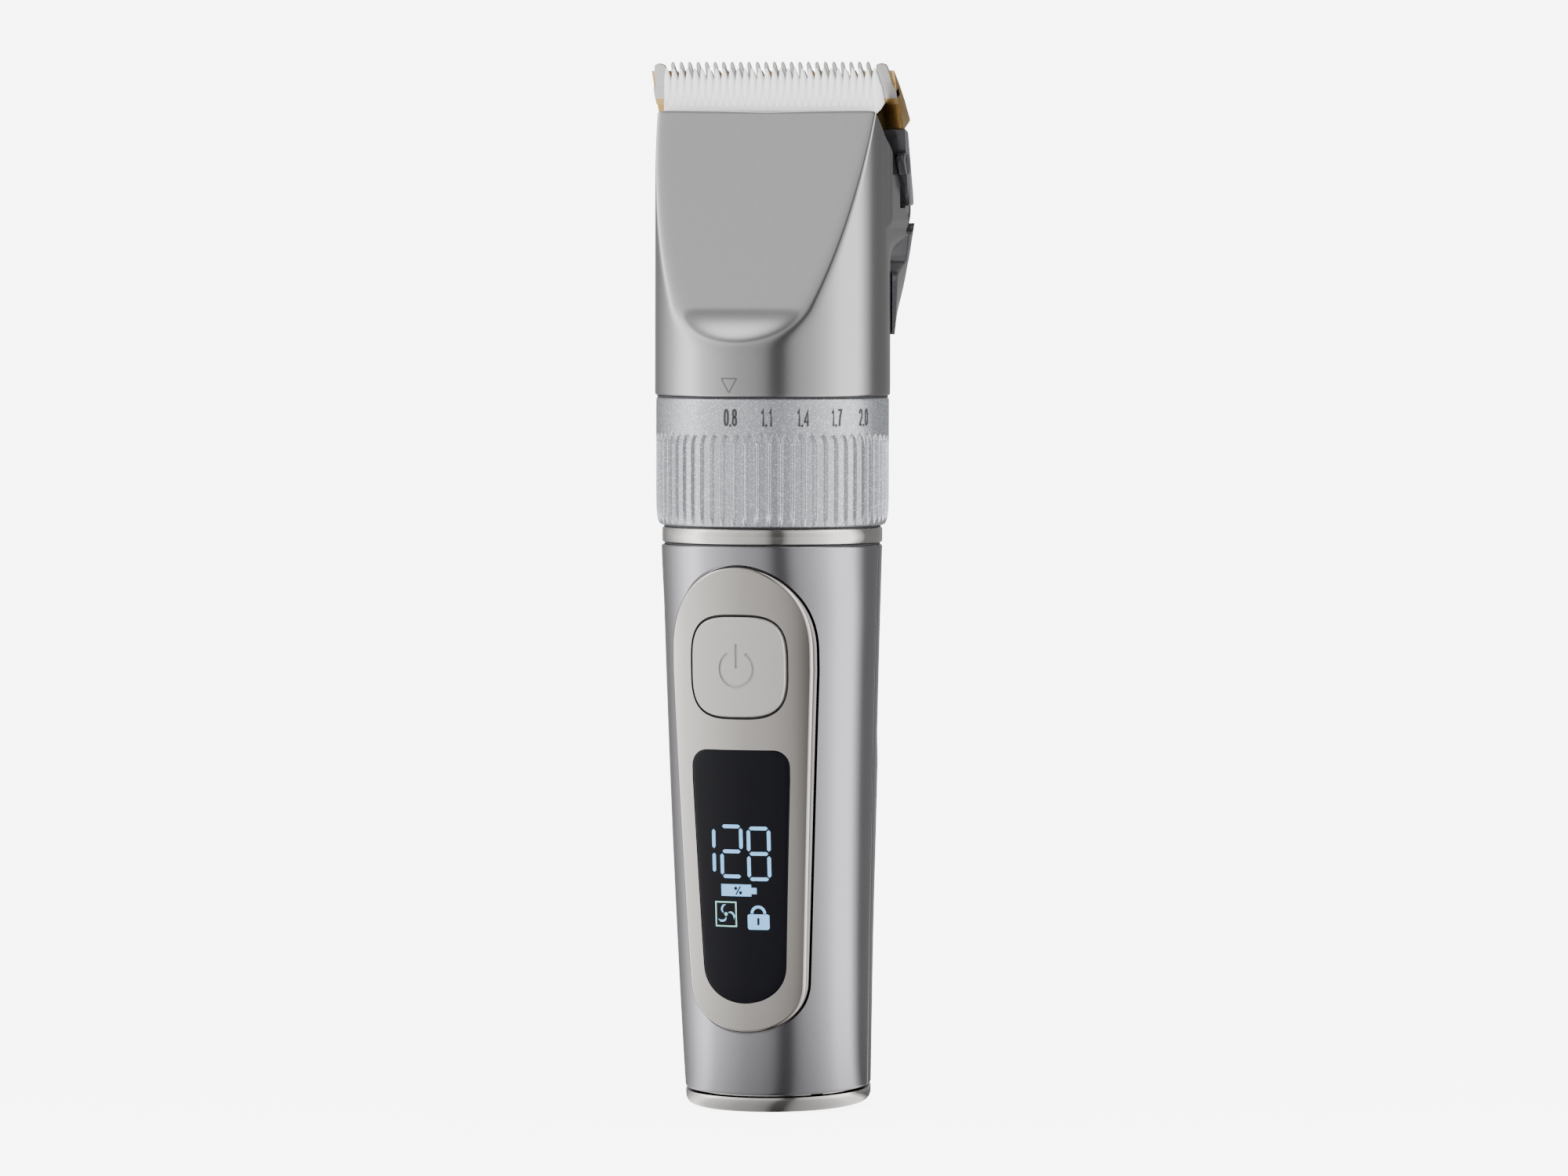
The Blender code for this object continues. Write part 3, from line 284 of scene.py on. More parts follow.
def band(a, b, n, flip=False):
    """Quads between closed rings of n points that start at vertices a and b."""
    if flip:
        return [(a + (i + 1) % n, a + i, b + i, b + (i + 1) % n) for i in range(n)]
    return [(a + i, a + (i + 1) % n, b + (i + 1) % n, b + i) for i in range(n)]


def fan(a, apex, n, flip=False):
    """Triangles from the ring that starts at vertex a to one apex."""
    if flip:
        return [(a + (i + 1) % n, a + i, apex) for i in range(n)]
    return [(a + i, a + (i + 1) % n, apex) for i in range(n)]


def flatten(rows):
    return [point for row in rows for point in row]


def rings_mesh(rings):
    """Skin through closed rings, capped at both ends."""
    n, last = len(rings[0]), len(rings) - 1
    faces = flatten(band(k * n, (k + 1) * n, n) for k in range(last))
    faces.append(tuple(range(n)))
    faces.append(tuple(range(last * n, (last + 1) * n)))
    return flatten(rings), faces


def torus_mesh(rows):
    """Closed loop of closed rings."""
    n, m = len(rows[0]), len(rows)
    return flatten(rows), flatten(band(k * n, (k + 1) % m * n, n) for k in range(m))


def join(meshes):
    verts, faces = [], []
    for new_verts, new_faces in meshes:
        start = len(verts)
        verts += new_verts
        faces += [tuple(k + start for k in face) for face in new_faces]
    return verts, faces


def sheet_mesh(outer, inner, closed):
    """Wall between two grids of points, closed round its columns or with side edges."""
    rows, cols = len(outer), len(outer[0])
    off = rows * cols

    def at(r, c):
        return r * cols + c % cols

    faces = []
    last = cols if closed else cols - 1
    for r in range(rows - 1):
        for c in range(last):
            here, right = at(r, c), at(r, c + 1)
            up, up_right = at(r + 1, c), at(r + 1, c + 1)
            faces.append((here, right, up_right, up))
            faces.append((off + here, off + up, off + up_right, off + right))
    for c in range(last):
        faces.append((at(0, c), off + at(0, c), off + at(0, c + 1), at(0, c + 1)))
        r = rows - 1
        faces.append((at(r, c), at(r, c + 1), off + at(r, c + 1), off + at(r, c)))
    if not closed:
        c = cols - 1
        for r in range(rows - 1):
            faces.append((at(r, 0), at(r + 1, 0), off + at(r + 1, 0), off + at(r, 0)))
            faces.append((at(r, c), off + at(r, c), off + at(r + 1, c), at(r + 1, c)))
    return flatten(outer) + flatten(inner), faces


def apply_modifiers(o, angle):
    graph = bpy.context.evaluated_depsgraph_get()
    data = bpy.data.meshes.new_from_object(o.evaluated_get(graph))
    old = o.data
    o.modifiers.clear()
    o.data = data
    bpy.data.meshes.remove(old)
    data.shade_smooth()
    data.set_sharp_from_angle(angle=math.radians(angle))


def boolean(o, tools, operation="DIFFERENCE", angle=30):
    for tool in tools:
        modifier = o.modifiers.new("b", "BOOLEAN")
        modifier.operation = operation
        modifier.solver = "EXACT"
        modifier.object = tool
    bpy.context.view_layer.update()
    apply_modifiers(o, angle)
    for tool in tools:
        bpy.data.objects.remove(tool, do_unlink=True)


def bevel(o, width):
    modifier = o.modifiers.new("bev", "BEVEL")
    modifier.width = width * MM
    modifier.segments = 3
    modifier.limit_method = "ANGLE"
    modifier.angle_limit = math.radians(30)
    apply_modifiers(o, 40)


def set_material(o, material):
    """Leave one material on a piece after its cuts."""
    o.data.materials.clear()
    o.data.materials.append(material)


def ease(start, end, x):
    """Smooth step from 0 at start to 1 at end; start may be the larger."""
    t = min(1.0, max(0.0, (x - start) / (end - start)))
    return t * t * (3 - 2 * t)


def angles(start, end, count):
    """Evenly spaced angles, given in degrees and returned in radians."""
    return [math.radians(start + (end - start) * i / (count - 1)) for i in range(count)]


def circle(radius, z, n):
    turns = [2 * math.pi * i / n for i in range(n)]
    return [(radius * math.cos(a), radius * math.sin(a), z) for a in turns]


def lathe(profile, n):
    """Solid of revolution about z from a closed (radius, z) profile."""
    return torus_mesh([circle(r, z, n) for r, z in profile])


def upright(name, outline, z0, z1):
    """Prism along z over an (x, y) outline."""
    return add_mesh(name, rings_mesh([[(x, y, z) for x, y in outline] for z in (z0, z1)]))


def box(low, high):
    (x0, y0, z0), (x1, y1, z1) = low, high
    return upright("box_cut", [(x0, y0), (x1, y0), (x1, y1), (x0, y1)], z0, z1)


def crosswise(name, outline, x0, x1, material=None):
    """Prism along x over a (y, z) outline."""
    rings = [[(x, y, z) for y, z in outline] for x in (x0, x1)]
    return add_mesh(name, rings_mesh(rings), material)


def pivot_rod(half_length, radius, n=96):
    """Rod along the cassette's hinge line."""
    turns = [2 * math.pi * i / n for i in range(n)]
    ring = [(PIVOT_Y + radius * math.cos(a), PIVOT_Z + radius * math.sin(a)) for a in turns]
    return crosswise("rod", ring, -half_length, half_length)


# ---------------------------------------------------------------- flat outlines
def resample(line, n):
    """Evenly spaced points along a closed outline."""
    m = len(line)
    lengths = [math.dist(line[i], line[(i + 1) % m]) for i in range(m)]
    total, out, i, passed = sum(lengths), [], 0, 0.0
    for k in range(n):
        target = total * k / n
        while passed + lengths[i] < target:
            passed += lengths[i]
            i += 1
        t = (target - passed) / lengths[i]
        a, b = line[i], line[(i + 1) % m]
        out.append((a[0] + (b[0] - a[0]) * t, a[1] + (b[1] - a[1]) * t))
    return out


def width_outline(width, low, high, n):
    """Outline symmetric about x = 0 whose half width at s is width(s)."""
    stations = [low + (high - low) * (0.5 - 0.5 * math.cos(math.pi * i / 400))
                for i in range(401)]
    right = [(width(s), s) for s in stations[1:-1]]
    left = [(-x, s) for x, s in reversed(right)]
    return resample([(0.0, low)] + right + [(0.0, high)] + left, n)


def superellipse(cx, cz, half_x, half_z, n, power, start=0.0):
    line = []
    for i in range(n):
        a = 2 * math.pi * i / n + start
        c, s = math.cos(a), math.sin(a)
        line.append((cx + half_x * math.copysign(abs(c) ** (2 / power), c),
                     cz + half_z * math.copysign(abs(s) ** (2 / power), s)))
    return line


def grow(line, distance):
    """Offset a closed outline outwards, or inwards if the distance is negative."""
    out, n = [], len(line)
    for i in range(n):
        (x0, y0), (x1, y1) = line[i - 2], line[(i + 2) % n]
        tx, ty = x1 - x0, y1 - y0
        k = math.hypot(tx, ty)
        out.append((line[i][0] + ty / k * distance, line[i][1] - tx / k * distance))
    return out


def centroid(line):
    return sum(p[0] for p in line) / len(line), sum(p[1] for p in line) / len(line)


def shrink(line, centre, keep):
    cx, cs = centre
    return [(cx + (x - cx) * keep, cs + (s - cs) * keep) for x, s in line]


# ---------------------------------------------------------------- handle surfaces
def centre_y(s):
    """The axis bends to the rear towards the base."""
    return BASE_TILT / (2 * HANDLE_TOP) * (HANDLE_TOP - s) ** 2


def handle_radius(s):
    return BASE_RADIUS + (TOP_RADIUS - BASE_RADIUS) * (max(s, 0) / HANDLE_TOP) ** 0.9


def handle_flat(s):
    return HANDLE_FLAT * (1 - ease(84, 95.5, s))


def finger_rest(s):
    return FINGER_REST * ease(64.5, 57.5, s) * (1 - ease(56, 22, s))


def along_handle(x, y, s):
    """Place in space of a point at x, y from the axis in the tilted section at s."""
    tilt = BASE_TILT * (HANDLE_TOP - s) / HANDLE_TOP
    return (x, centre_y(s) + y, s + centre_y(s) * tilt + y * tilt)


def handle_point(phi, s, inset=0.0):
    r = handle_radius(s) - inset
    c, sn = math.cos(phi), math.sin(phi)
    if sn < 0:
        y = -(r - handle_flat(s)) * abs(sn) ** 0.94
    else:
        y = r * sn + finger_rest(s) * sn ** 1.3
    return along_handle(r * c, y, s)


def front_angle(x, radius):
    return -math.acos(max(-1.0, min(1.0, x / radius)))


def front_point(x, s, inset=0.0):
    return handle_point(front_angle(x, handle_radius(s) - inset), s, inset)


def panel_point(x, s, depth=0.0):
    y = -(handle_radius(s) - 0.66 * handle_flat(s) + 0.02) + x * x / (2 * PANEL_SAG) + depth
    return along_handle(x, y, s)


def at_depth(depth):
    return lambda x, s: panel_point(x, s, depth)


def inside_front(inset):
    return lambda x, s: front_point(x, s, inset)


def panel_width(s):
    """Half width: widens upwards, with a rounded top and bottom."""
    low_half, top_start, bottom_start = 10.3, 78, 22
    w = low_half + (PANEL_HALF - low_half) * min(1.0, max(0.0, (s - 20) / 55)) ** 0.9
    if s > top_start:
        t = (s - top_start) / (PANEL_HIGH - top_start)
        w *= math.sqrt(max(0.0, 1 - t ** 2.3))
    if s < bottom_start:
        t = (bottom_start - s) / (bottom_start - PANEL_LOW)
        w *= math.sqrt(max(0.0, 1 - t ** 2.2))
    return w


def window_width(s):
    """Half width: round corners at the top, one wide curve at the bottom."""
    corner, bottom_start = 2.7, 25.5
    w = 7.4 + 1.35 * min(1.0, max(0.0, (s - 25) / 32))
    if s > WINDOW_HIGH - corner:
        w -= corner * (1 - math.sqrt(max(0, 1 - ((s - WINDOW_HIGH + corner) / corner) ** 2)))
    if s < bottom_start:
        t = (bottom_start - s) / (bottom_start - WINDOW_LOW)
        w *= math.sqrt(max(0.0, 1 - t ** 2.2))
    return w


def cushion(name, line, face, back, rim, material, body=None):
    """Raised plate over an outline with a rolled rim: face(x, s, depth) is its front,
    back(x, s) its underside."""
    steps, rim_steps = 9, 5
    rows = [[back(x, s) for x, s in line]]
    for k in range(rim_steps + 1):
        a = math.pi / 2 * k / rim_steps
        ring = grow(line, -rim * (1 - math.cos(a)))
        rows.append([face(x, s, rim * (1 - math.sin(a))) for x, s in ring])
    inner = grow(line, -rim)
    centre = centroid(inner)
    for k in range(1, steps):
        rows.append([face(x, s, 0) for x, s in shrink(inner, centre, 1 - k / steps)])
    n = len(line)
    verts = flatten(rows)
    faces = flatten(band(k * n, (k + 1) * n, n) for k in range(len(rows) - 1))
    faces += fan((len(rows) - 1) * n, len(verts), n)
    verts.append(face(*centre, 0))
    previous = 0
    for k in range(1, steps):
        start = len(verts)
        verts += [back(x, s) for x, s in shrink(line, centre, 1 - k / steps)]
        faces += band(previous, start, n, flip=True)
        previous = start
    faces += fan(previous, len(verts), n, flip=True)
    verts.append(back(*centre))
    return add_mesh(name, (verts, faces), material, body)


def plug(name, line, top, bottom, steps=10):
    """Cutter over an outline between two surfaces."""
    n, centre = len(line), centroid(line)
    verts, faces = [], []
    for place in (top, bottom):
        start = len(verts)
        for k in range(steps):
            verts += [place(x, s) for x, s in shrink(line, centre, 1 - k / steps)]
        verts.append(place(*centre))
        for k in range(steps - 1):
            faces += band(start + k * n, start + (k + 1) * n, n)
        faces += fan(start + (steps - 1) * n, start + steps * n, n)
    faces += band(0, start, n, flip=True)
    return add_mesh(name, (verts, faces))


def panel_hole(line, depth):
    return plug("hole", line, at_depth(-3), at_depth(depth), steps=4)


def arc_bar(name, centre, radius, half, start, end, steps, up, down, material=None, body=None):
    """Curved bar laid on the panel, between the depths up and down."""
    rings = []
    for a in angles(start, end, steps + 1):
        ring = []
        for side, depth in ((-half, up), (half, up), (half, down), (-half, down)):
            r = radius + side
            ring.append(panel_point(centre[0] + r * math.cos(a),
                                    centre[1] + r * math.sin(a), depth))
        rings.append(ring)
    return add_mesh(name, rings_mesh(rings), material, body)


def thin_plate(name, line, up, down, material=None, body=None):
    """Thin plate over a flat outline, sliced so that it follows the panel's curve."""
    pitch, shift = .4, .013
    bm = bmesh.new()
    bm.faces.new([bm.verts.new((x, s, 0)) for x, s in line])
    low, high = min(p[0] for p in line), max(p[0] for p in line)
    x = math.ceil(low / pitch + .01) * pitch + shift
    while x < high:
        bmesh.ops.bisect_plane(bm, geom=bm.verts[:] + bm.edges[:] + bm.faces[:],
                               plane_co=(x, 0, 0), plane_no=(1, 0, 0))
        x += pitch
    bmesh.ops.triangulate(bm, faces=bm.faces[:])
    bm.verts.index_update()
    verts = [panel_point(v.co.x, v.co.y, depth) for depth in (up, down) for v in bm.verts]
    n = len(bm.verts)
    faces = [tuple(v.index for v in f.verts) for f in bm.faces]
    faces += [tuple(v.index + n for v in reversed(f.verts)) for f in bm.faces]
    for e in bm.edges:
        if len(e.link_faces) == 1:
            a, b = e.verts[0].index, e.verts[1].index
            faces.append((a, b, b + n, a + n))
    bm.free()
    return add_mesh(name, (verts, faces), material, body)


def true_normals(o, point, key):
    """Shade the broad faces of a cut piece from the surface they were drawn on, so the
    cuts leave no glints. key(place) gives the surface coordinates that point(u, s) takes."""
    reach = .04   # a vertex this near the surface lies on it
    data = o.data
    normals = [Vector(n.vector) for n in data.corner_normals]
    cache = {}
    for face in data.polygons:
        for corner in face.loop_indices:
            vertex = data.loops[corner].vertex_index
            if vertex not in cache:
                place = data.vertices[vertex].co / MM
                u, s = key(place)
                normal = None
                if (Vector(point(u, s)) - place).length < reach:
                    along_u = Vector(point(u + 1e-3, s)) - Vector(point(u - 1e-3, s))
                    along_s = Vector(point(u, s + .05)) - Vector(point(u, s - .05))
                    normal = along_u.cross(along_s).normalized()
                    if normal.dot(place - Vector((0, centre_y(s), place.z))) < 0:
                        normal = -normal
                cache[vertex] = normal
            normal = cache[vertex]
            if normal is not None and face.normal.dot(normal) > .9:
                normals[corner] = normal
    data.normals_split_custom_set([tuple(n) for n in normals])


def panel_key(place):
    """x and s of a point in space."""
    s = (place.z - place.y * BASE_TILT) / (1 - place.y * BASE_TILT / HANDLE_TOP)
    return place.x, s


def front_key(place):
    """Angle and s of a point in space."""
    x, s = panel_key(place)
    return front_angle(x, handle_radius(s)), s


PANEL_LINE = width_outline(panel_width, PANEL_LOW, PANEL_HIGH, 240)
WINDOW_LINE = width_outline(window_width, WINDOW_LOW, WINDOW_HIGH, 160)
BUTTON_LINE = resample(superellipse(0, BUTTON_Z, BUTTON_HALF, BUTTON_HALF, 128, 3.4,
                                    start=-math.pi / 2), 128)

# ---------------------------------------------------------------- handle shells
# (s, inset): the inset rounds the lower and upper rims
SHELL_STATIONS = [(3.05, .22), (3.25, .06)]
SHELL_STATIONS += [(3.5 + (95.5 - 3.5) * i / 150, 0.0) for i in range(151)]
SHELL_STATIONS += [(95.7, .06), (HANDLE_TOP - SEAM, .22)]


def shell(name, start, end, count):
    """Half shell whose side edges are rolled in for a shadow gap at the side seam."""
    turns = angles(start, end, count)
    side = {0: .16, count - 1: .16, 1: .03, count - 2: .03}
    outer = [[handle_point(a, s, rim + side.get(i, 0.0)) for i, a in enumerate(turns)]
             for s, rim in SHELL_STATIONS]
    inner = [[handle_point(a, s, WALL) for a in turns] for s, _ in SHELL_STATIONS]
    return add_mesh(name, sheet_mesh(outer, inner, False), HANDLE, angle=40)


front = shell("handle_front", -184, 4, 190)
rear = shell("handle_rear", 5, 175, 170)
recess = plug("recess", grow(PANEL_LINE, 0.28), at_depth(-3), inside_front(1.15))
boolean(front, [recess, panel_hole(grow(BUTTON_LINE, KEY_GAP), 9),
                panel_hole(grow(WINDOW_LINE, -1.2), 8)], angle=40)
assign(front, "handle", "front_shell")
true_normals(front, handle_point, front_key)
assign(rear, "handle", "rear_shell")

# ---------------------------------------------------------------- panel, window and key
panel = cushion("button_panel", PANEL_LINE, panel_point, inside_front(0.8), 0.75, NICKEL)
boolean(panel, [panel_hole(grow(BUTTON_LINE, KEY_GAP), 9),
                panel_hole(grow(WINDOW_LINE, 0.08), 9)], angle=40)
assign(panel, "handle", "front_panel")
true_normals(panel, panel_point, panel_key)

window = cushion("display_glass", WINDOW_LINE, lambda x, s, d: panel_point(x, s, d - .03),
                 at_depth(.95), 0.22, LENS)
assign(window, "handle", "display_window")

button = cushion("power_key", BUTTON_LINE,
                 lambda x, s, d: panel_point(x, s, d - BUTTON_SINK), at_depth(1.75), 0.42, KEY)
# engraved power symbol: a broken ring and a bar
SYMBOL_UP, SYMBOL_DOWN, SYMBOL_HALF = -1.2, -.18, .24
symbol_ring = arc_bar("symbol_ring", (0, BUTTON_Z - .3), 3.0, SYMBOL_HALF, 122, 418, 60,
                      SYMBOL_UP, SYMBOL_DOWN)
bar_low, bar_high = BUTTON_Z - .2, BUTTON_Z + 3.9
symbol_bar = thin_plate("symbol_bar", [(-SYMBOL_HALF, bar_low), (SYMBOL_HALF, bar_low),
                                       (SYMBOL_HALF, bar_high), (-SYMBOL_HALF, bar_high)],
                        SYMBOL_UP, SYMBOL_DOWN)
boolean(button, [symbol_ring, symbol_bar], angle=35)
true_normals(button, at_depth(-BUTTON_SINK), panel_key)
assign(button, "button", "power_button")

# dark gasket at the foot of the gap round the key
gasket_rows = [[panel_point(*a, .95), panel_point(*b, .95), panel_point(*b, 1.5),
                panel_point(*a, 1.5)]
               for a, b in zip(grow(BUTTON_LINE, .10), grow(BUTTON_LINE, .40))]
gasket = add_mesh("key_gasket", torus_mesh(gasket_rows), BLACK, angle=40)
assign(gasket, "handle")

# ---------------------------------------------------------------- base cap
# (s, inset from the handle's surface): rounded foot, upper rim, then a spigot
CAP_STATIONS = [(0.0, 1.6), (0.05, 1.25), (0.18, .85), (0.4, .5), (0.7, .24), (1.05, .08),
                (1.4, 0.0), (CAP_SEAM - .25, 0), (CAP_SEAM - .08, .06), (CAP_SEAM, .2),
                (CAP_SEAM, 2.1), (CAP_SEAM + 4, 2.1)]
cap = add_mesh("end_cap", rings_mesh([[handle_point(2 * math.pi * i / 256, s, inset)
                                       for i in range(256)] for s, inset in CAP_STATIONS]),
               CHROME, angle=35)
slot_y, slot_half_x, slot_half_y = 10.5, 4.9, 2.1
slot_run = slot_half_x - slot_half_y
slot_line = [(math.copysign(slot_run, math.cos(a)) + slot_half_y * math.cos(a),
              slot_y + slot_half_y * math.sin(a)) for a in angles(-89, 269, 41)[:-1]]
boolean(cap, [box((-11, -6, 1.9), (11, 4, 12)), upright("slot_cut", slot_line, -3, 12)],
        angle=35)
assign(cap, "handle", "base_cap")

# ---------------------------------------------------------------- collar, and black rings for the shade in the seams
COLLAR_PROFILE = [(COLLAR_RADIUS - .45, HANDLE_TOP + SEAM),
                  (COLLAR_RADIUS - .18, HANDLE_TOP + .22),
                  (COLLAR_RADIUS, HANDLE_TOP + .45), (COLLAR_RADIUS + .02, HANDLE_TOP + 1.5),
                  (COLLAR_RADIUS, COLLAR_TOP - .45), (COLLAR_RADIUS - .18, COLLAR_TOP - .22),
                  (COLLAR_RADIUS - .45, COLLAR_TOP - SEAM),
                  (15.0, COLLAR_TOP - SEAM), (15.0, HANDLE_TOP + SEAM)]
collar = add_mesh("trim_collar", lathe(COLLAR_PROFILE, 256), CHROME, angle=40)
assign(collar, "handle", "collar_ring")

# black rings that close the seams between handle, collar, dial and head: painted shade standing
# in for the dark seam gaps
for name, seam_z, r in (("seam_shade_ring_handle", HANDLE_TOP, 18.42),
                        ("seam_shade_ring_dial", COLLAR_TOP, 18.55),
                        ("seam_shade_ring_head", DIAL_TOP, 19.74)):
    low, high = seam_z - .12, seam_z + .12
    profile = [(r - 1.4, low), (r - .05, low), (r, low + .05), (r, high - .05),
               (r - .05, high), (r - 1.4, high)]
    seam_shade_ring = add_mesh(name, lathe(profile, 192), BLACK, angle=40)
    assign(seam_shade_ring, "handle")

# ---------------------------------------------------------------- dial
FLUTES = 60
FLUTE_STEP = 6.0         # degrees
FLUTE_DEPTH = .5
FLUTE_ARCH = 2.2         # height over which the flutes run out in arches
LEDGE_TOP = 111.0
LEDGE_DROP = 1.2 * math.cos(BLADE_TILT)   # fall of the ledge over 72 degrees


def ledge(deg):
    """Height of the inner ledge: twice a turn it falls for 90 degrees and climbs back."""
    d = deg % 180.0
    if d > 170:
        return LEDGE_TOP
    if d <= 90:
        return LEDGE_TOP - LEDGE_DROP * d / 72
    return LEDGE_TOP - LEDGE_DROP * (90 / 72) * (170 - d) / 80.0


def off_centre(a):
    """0 in the middle of a flute, 1 on the ridge between two."""
    return abs((math.degrees(a) / FLUTE_STEP) % 1.0 - 0.5) * 2


dial_points = FLUTES * 14
dial_low, dial_high = COLLAR_TOP + SEAM, DIAL_TOP - SEAM
# (z, change of radius, depth of the flutes as a share)
levels = [(dial_low, -1.0, 0), (dial_low + .12, -.72, 0), (dial_low + .4, -.5, .2),
          (dial_low + .9, -.32, .45), (dial_low + 1.6, -.16, .8), (dial_low + 2.6, -.05, 1),
          (dial_low + 5, 0, 1)]
levels += [(dial_low + 5 + (FLUTE_TOP - FLUTE_ARCH - dial_low - 5) * k / 4, 0, 1)
           for k in range(1, 5)]
levels += [(FLUTE_TOP - FLUTE_ARCH + FLUTE_ARCH * k / 10, 0, 1) for k in range(1, 11)]
levels += [(FLUTE_TOP + .5, 0, 0), (dial_high - .5, 0, 0), (dial_high - .2, -.06, 0),
           (dial_high, -.25, 0)]
rows = []
for z, change, share in levels:
    row = []
    for i in range(dial_points):
        a = 2 * math.pi * i / dial_points
        depth = share
        if FLUTE_TOP - 2.3 < z <= FLUTE_TOP and share:
            arch = FLUTE_TOP - 2.0 * off_centre(a) ** 2.2
            depth = ease(arch + .02, arch - .45, z)
        r = DIAL_RADIUS + change - FLUTE_DEPTH * ease(0.98, 0.62, off_centre(a)) * depth
        row.append((r * math.cos(a), r * math.sin(a), z))
    rows.append(row)
# bore: (radius, z), with no z on the ledge
for r, z in ((16.7, dial_high), (16.7, None), (14.9, None), (14.9, dial_low)):
    row = circle(r, z, dial_points)
    if z is None:
        row = [(x, y, ledge(360.0 * i / dial_points)) for i, (x, y, _) in enumerate(row)]
    rows.append(row)
dial = add_mesh("setting_dial", torus_mesh(rows), SILVER, angle=50)
assign(dial, "dial", "adjust_dial")

# ---------------------------------------------------------------- dial numerals
GLYPH_HEIGHT = 3.0
CONDENSE = .84           # width of the numerals as a share of the drawn glyphs
GLYPH_GAP = .26


def loop(cz, half_x, half_z):
    return superellipse(.5, cz, half_x, half_z, 28, 2.6)


TWO = [(.5 - .36 * math.cos(a), 2.1 + .68 * math.sin(a)) for a in angles(0, 180, 12)]
TWO += [(.84, 1.75), (.72, 1.35), (.5, .95), (.28, .52), (.19, .2), (.95, .2)]
# per character: its advance and its strokes, each (points, closed)
GLYPHS = {"0": (1.0, [(loop(1.5, .36, 1.3), True)]),
          "8": (1.0, [(loop(2.22, .31, .60), True), (loop(.86, .36, .66), True)]),
          "1": (.82, [([(.2, 2.28), (.44, 2.42), (.58, 2.82), (.58, 0)], False)]),
          "2": (1.04, [(TWO, False)]),
          "4": (1.1, [([(.78, 0), (.78, 2.72), (.12, .82), (1.02, .82)], False)]),
          "7": (1.0, [([(.08, 2.8), (.92, 2.8), (.62, 1.7), (.42, 0)], False)]),
          ".": (.26, [([(.12, -.1), (.12, .36)], False)])}


def stroke(line, closed, half, place):
    """A bar of constant width along a line, mitred at its corners."""
    n, rings = len(line), []
    for i, (x, z) in enumerate(line):
        before = line[i - 1] if closed or i else None
        after = line[(i + 1) % n] if closed or i < n - 1 else None
        t0 = Vector((x - before[0], z - before[1])).normalized() if before else None
        t1 = Vector((after[0] - x, after[1] - z)).normalized() if after else None
        t = ((t0 or t1) + (t1 or t0)).normalized()
        k = half / max(.45, t.dot(t1 or t0))
        nx, nz = -t.y * k, t.x * k
        rings.append([place(x + nx, z + nz, 0), place(x - nx, z - nz, 0),
                      place(x - nx, z - nz, 1), place(x + nx, z + nz, 1)])
    return torus_mesh(rings) if closed else rings_mesh(rings)


def numeral(text, phi, z0, height):
    """Condensed numerals wrapped on the dial's smooth band, centred on phi."""
    k, pen, strokes = height / GLYPH_HEIGHT, 0.0, []
    width = (sum(GLYPHS[c][0] for c in text) + GLYPH_GAP * (len(text) - 1)) * k * CONDENSE

    def place(x, z, top):
        a = phi + (pen * CONDENSE * k + x * k - width / 2) / DIAL_RADIUS
        r = DIAL_RADIUS + (.028 if top else -.05)
        return (r * math.cos(a), r * math.sin(a), z0 + z * k)

    for c in text:
        advance, lines = GLYPHS[c]
        for line, closed in lines:
            narrow = [(x * CONDENSE, z) for x, z in line]
            strokes.append(stroke(narrow, closed, .2, place))
        pen += advance + GLYPH_GAP
    o = add_mesh("numeral_" + text.replace(".", "_"), join(strokes), INK)
    assign(o, "dial")


for k, text in enumerate(("0.8", "1.1", "1.4", "1.7", "2.0")):
    numeral(text, MARK + math.radians(18 * k + .6), z0=116.3, height=2.95)


# ---------------------------------------------------------------- head
def facet_depth(z):
    """Distance of the flat front from the axis."""
    if z < FACET_FOOT:
        u = FACET_FOOT - z
        foot = FACET_TOP + (HEAD_TOP - FACET_FOOT) * FACET_SLOPE
        return foot + FACET_SLOPE * u + SCOOP * u * u
    return FACET_TOP + (HEAD_TOP - z) * FACET_SLOPE


def boxy_radius(phi):
    """Squared-off section of the upper rear half."""
    c, s = abs(math.cos(phi)), math.sin(phi)
    return ((20.2 / (c + .104 * s)) ** -24 + (23.2 / max(s, 1e-3)) ** -24) ** (-1 / 24)


def from_side(phi):
    """Degrees from the nearer side on the rear half, None on the front half."""
    deg = math.degrees(phi) % 360
    return min(deg, 180 - deg) if deg <= 180 else None


def head_outer(phi, z):
    s = math.sin(phi)
    r = HEAD_RADIUS
    d = from_side(phi)
    if d is not None and d < 52:
        r += ((max(boxy_radius(phi), r) - r + .6 * ease(149.5, 151.5, z))
              * ease(143.4, 149.0, z) * ease(1, 10, d) * (1 - ease(40.5, 42.5, d)))
    if s < 0:
        f = facet_depth(z) / max(-s, 1e-4)
        if f < 3 * r:
            # soft meeting of the flat front and the round body
            q = 46 - 14 * ease(140, 131, z)
            r = (r ** -q + f ** -q) ** (-1 / q)
    return r


def head_inner(phi, z):
    s, c = math.sin(phi), abs(math.cos(phi))
    r = HEAD_RADIUS - WALL
    d = from_side(phi)
    if d is not None and d < 41.5 and z > 146:
        r = max(r, min(17.7 / max(c, 1e-3), head_outer(phi, z) - 1.0))
    if s < 0:
        wall = 0.9 + 0.7 * min(1, max(0, (HEAD_TOP - z) / 8))
        r = min(r, (facet_depth(z) - wall) / max(-s, 1e-4))
    return r


def rim_height(phi):
    """Height of the head's rim: the front edge, then the slanted seat of the cassette."""
    low, high = 124.0, HEAD_TOP
    s = math.sin(phi)

    def over(z):
        return SLANT_Y * head_outer(phi, z) * s + SLANT_Z * z > HEAD_SLANT
    if not over(high):
        return high
    for _ in range(30):
        middle = (low + high) / 2
        if over(middle):
            high = middle
        else:
            low = middle
    return low


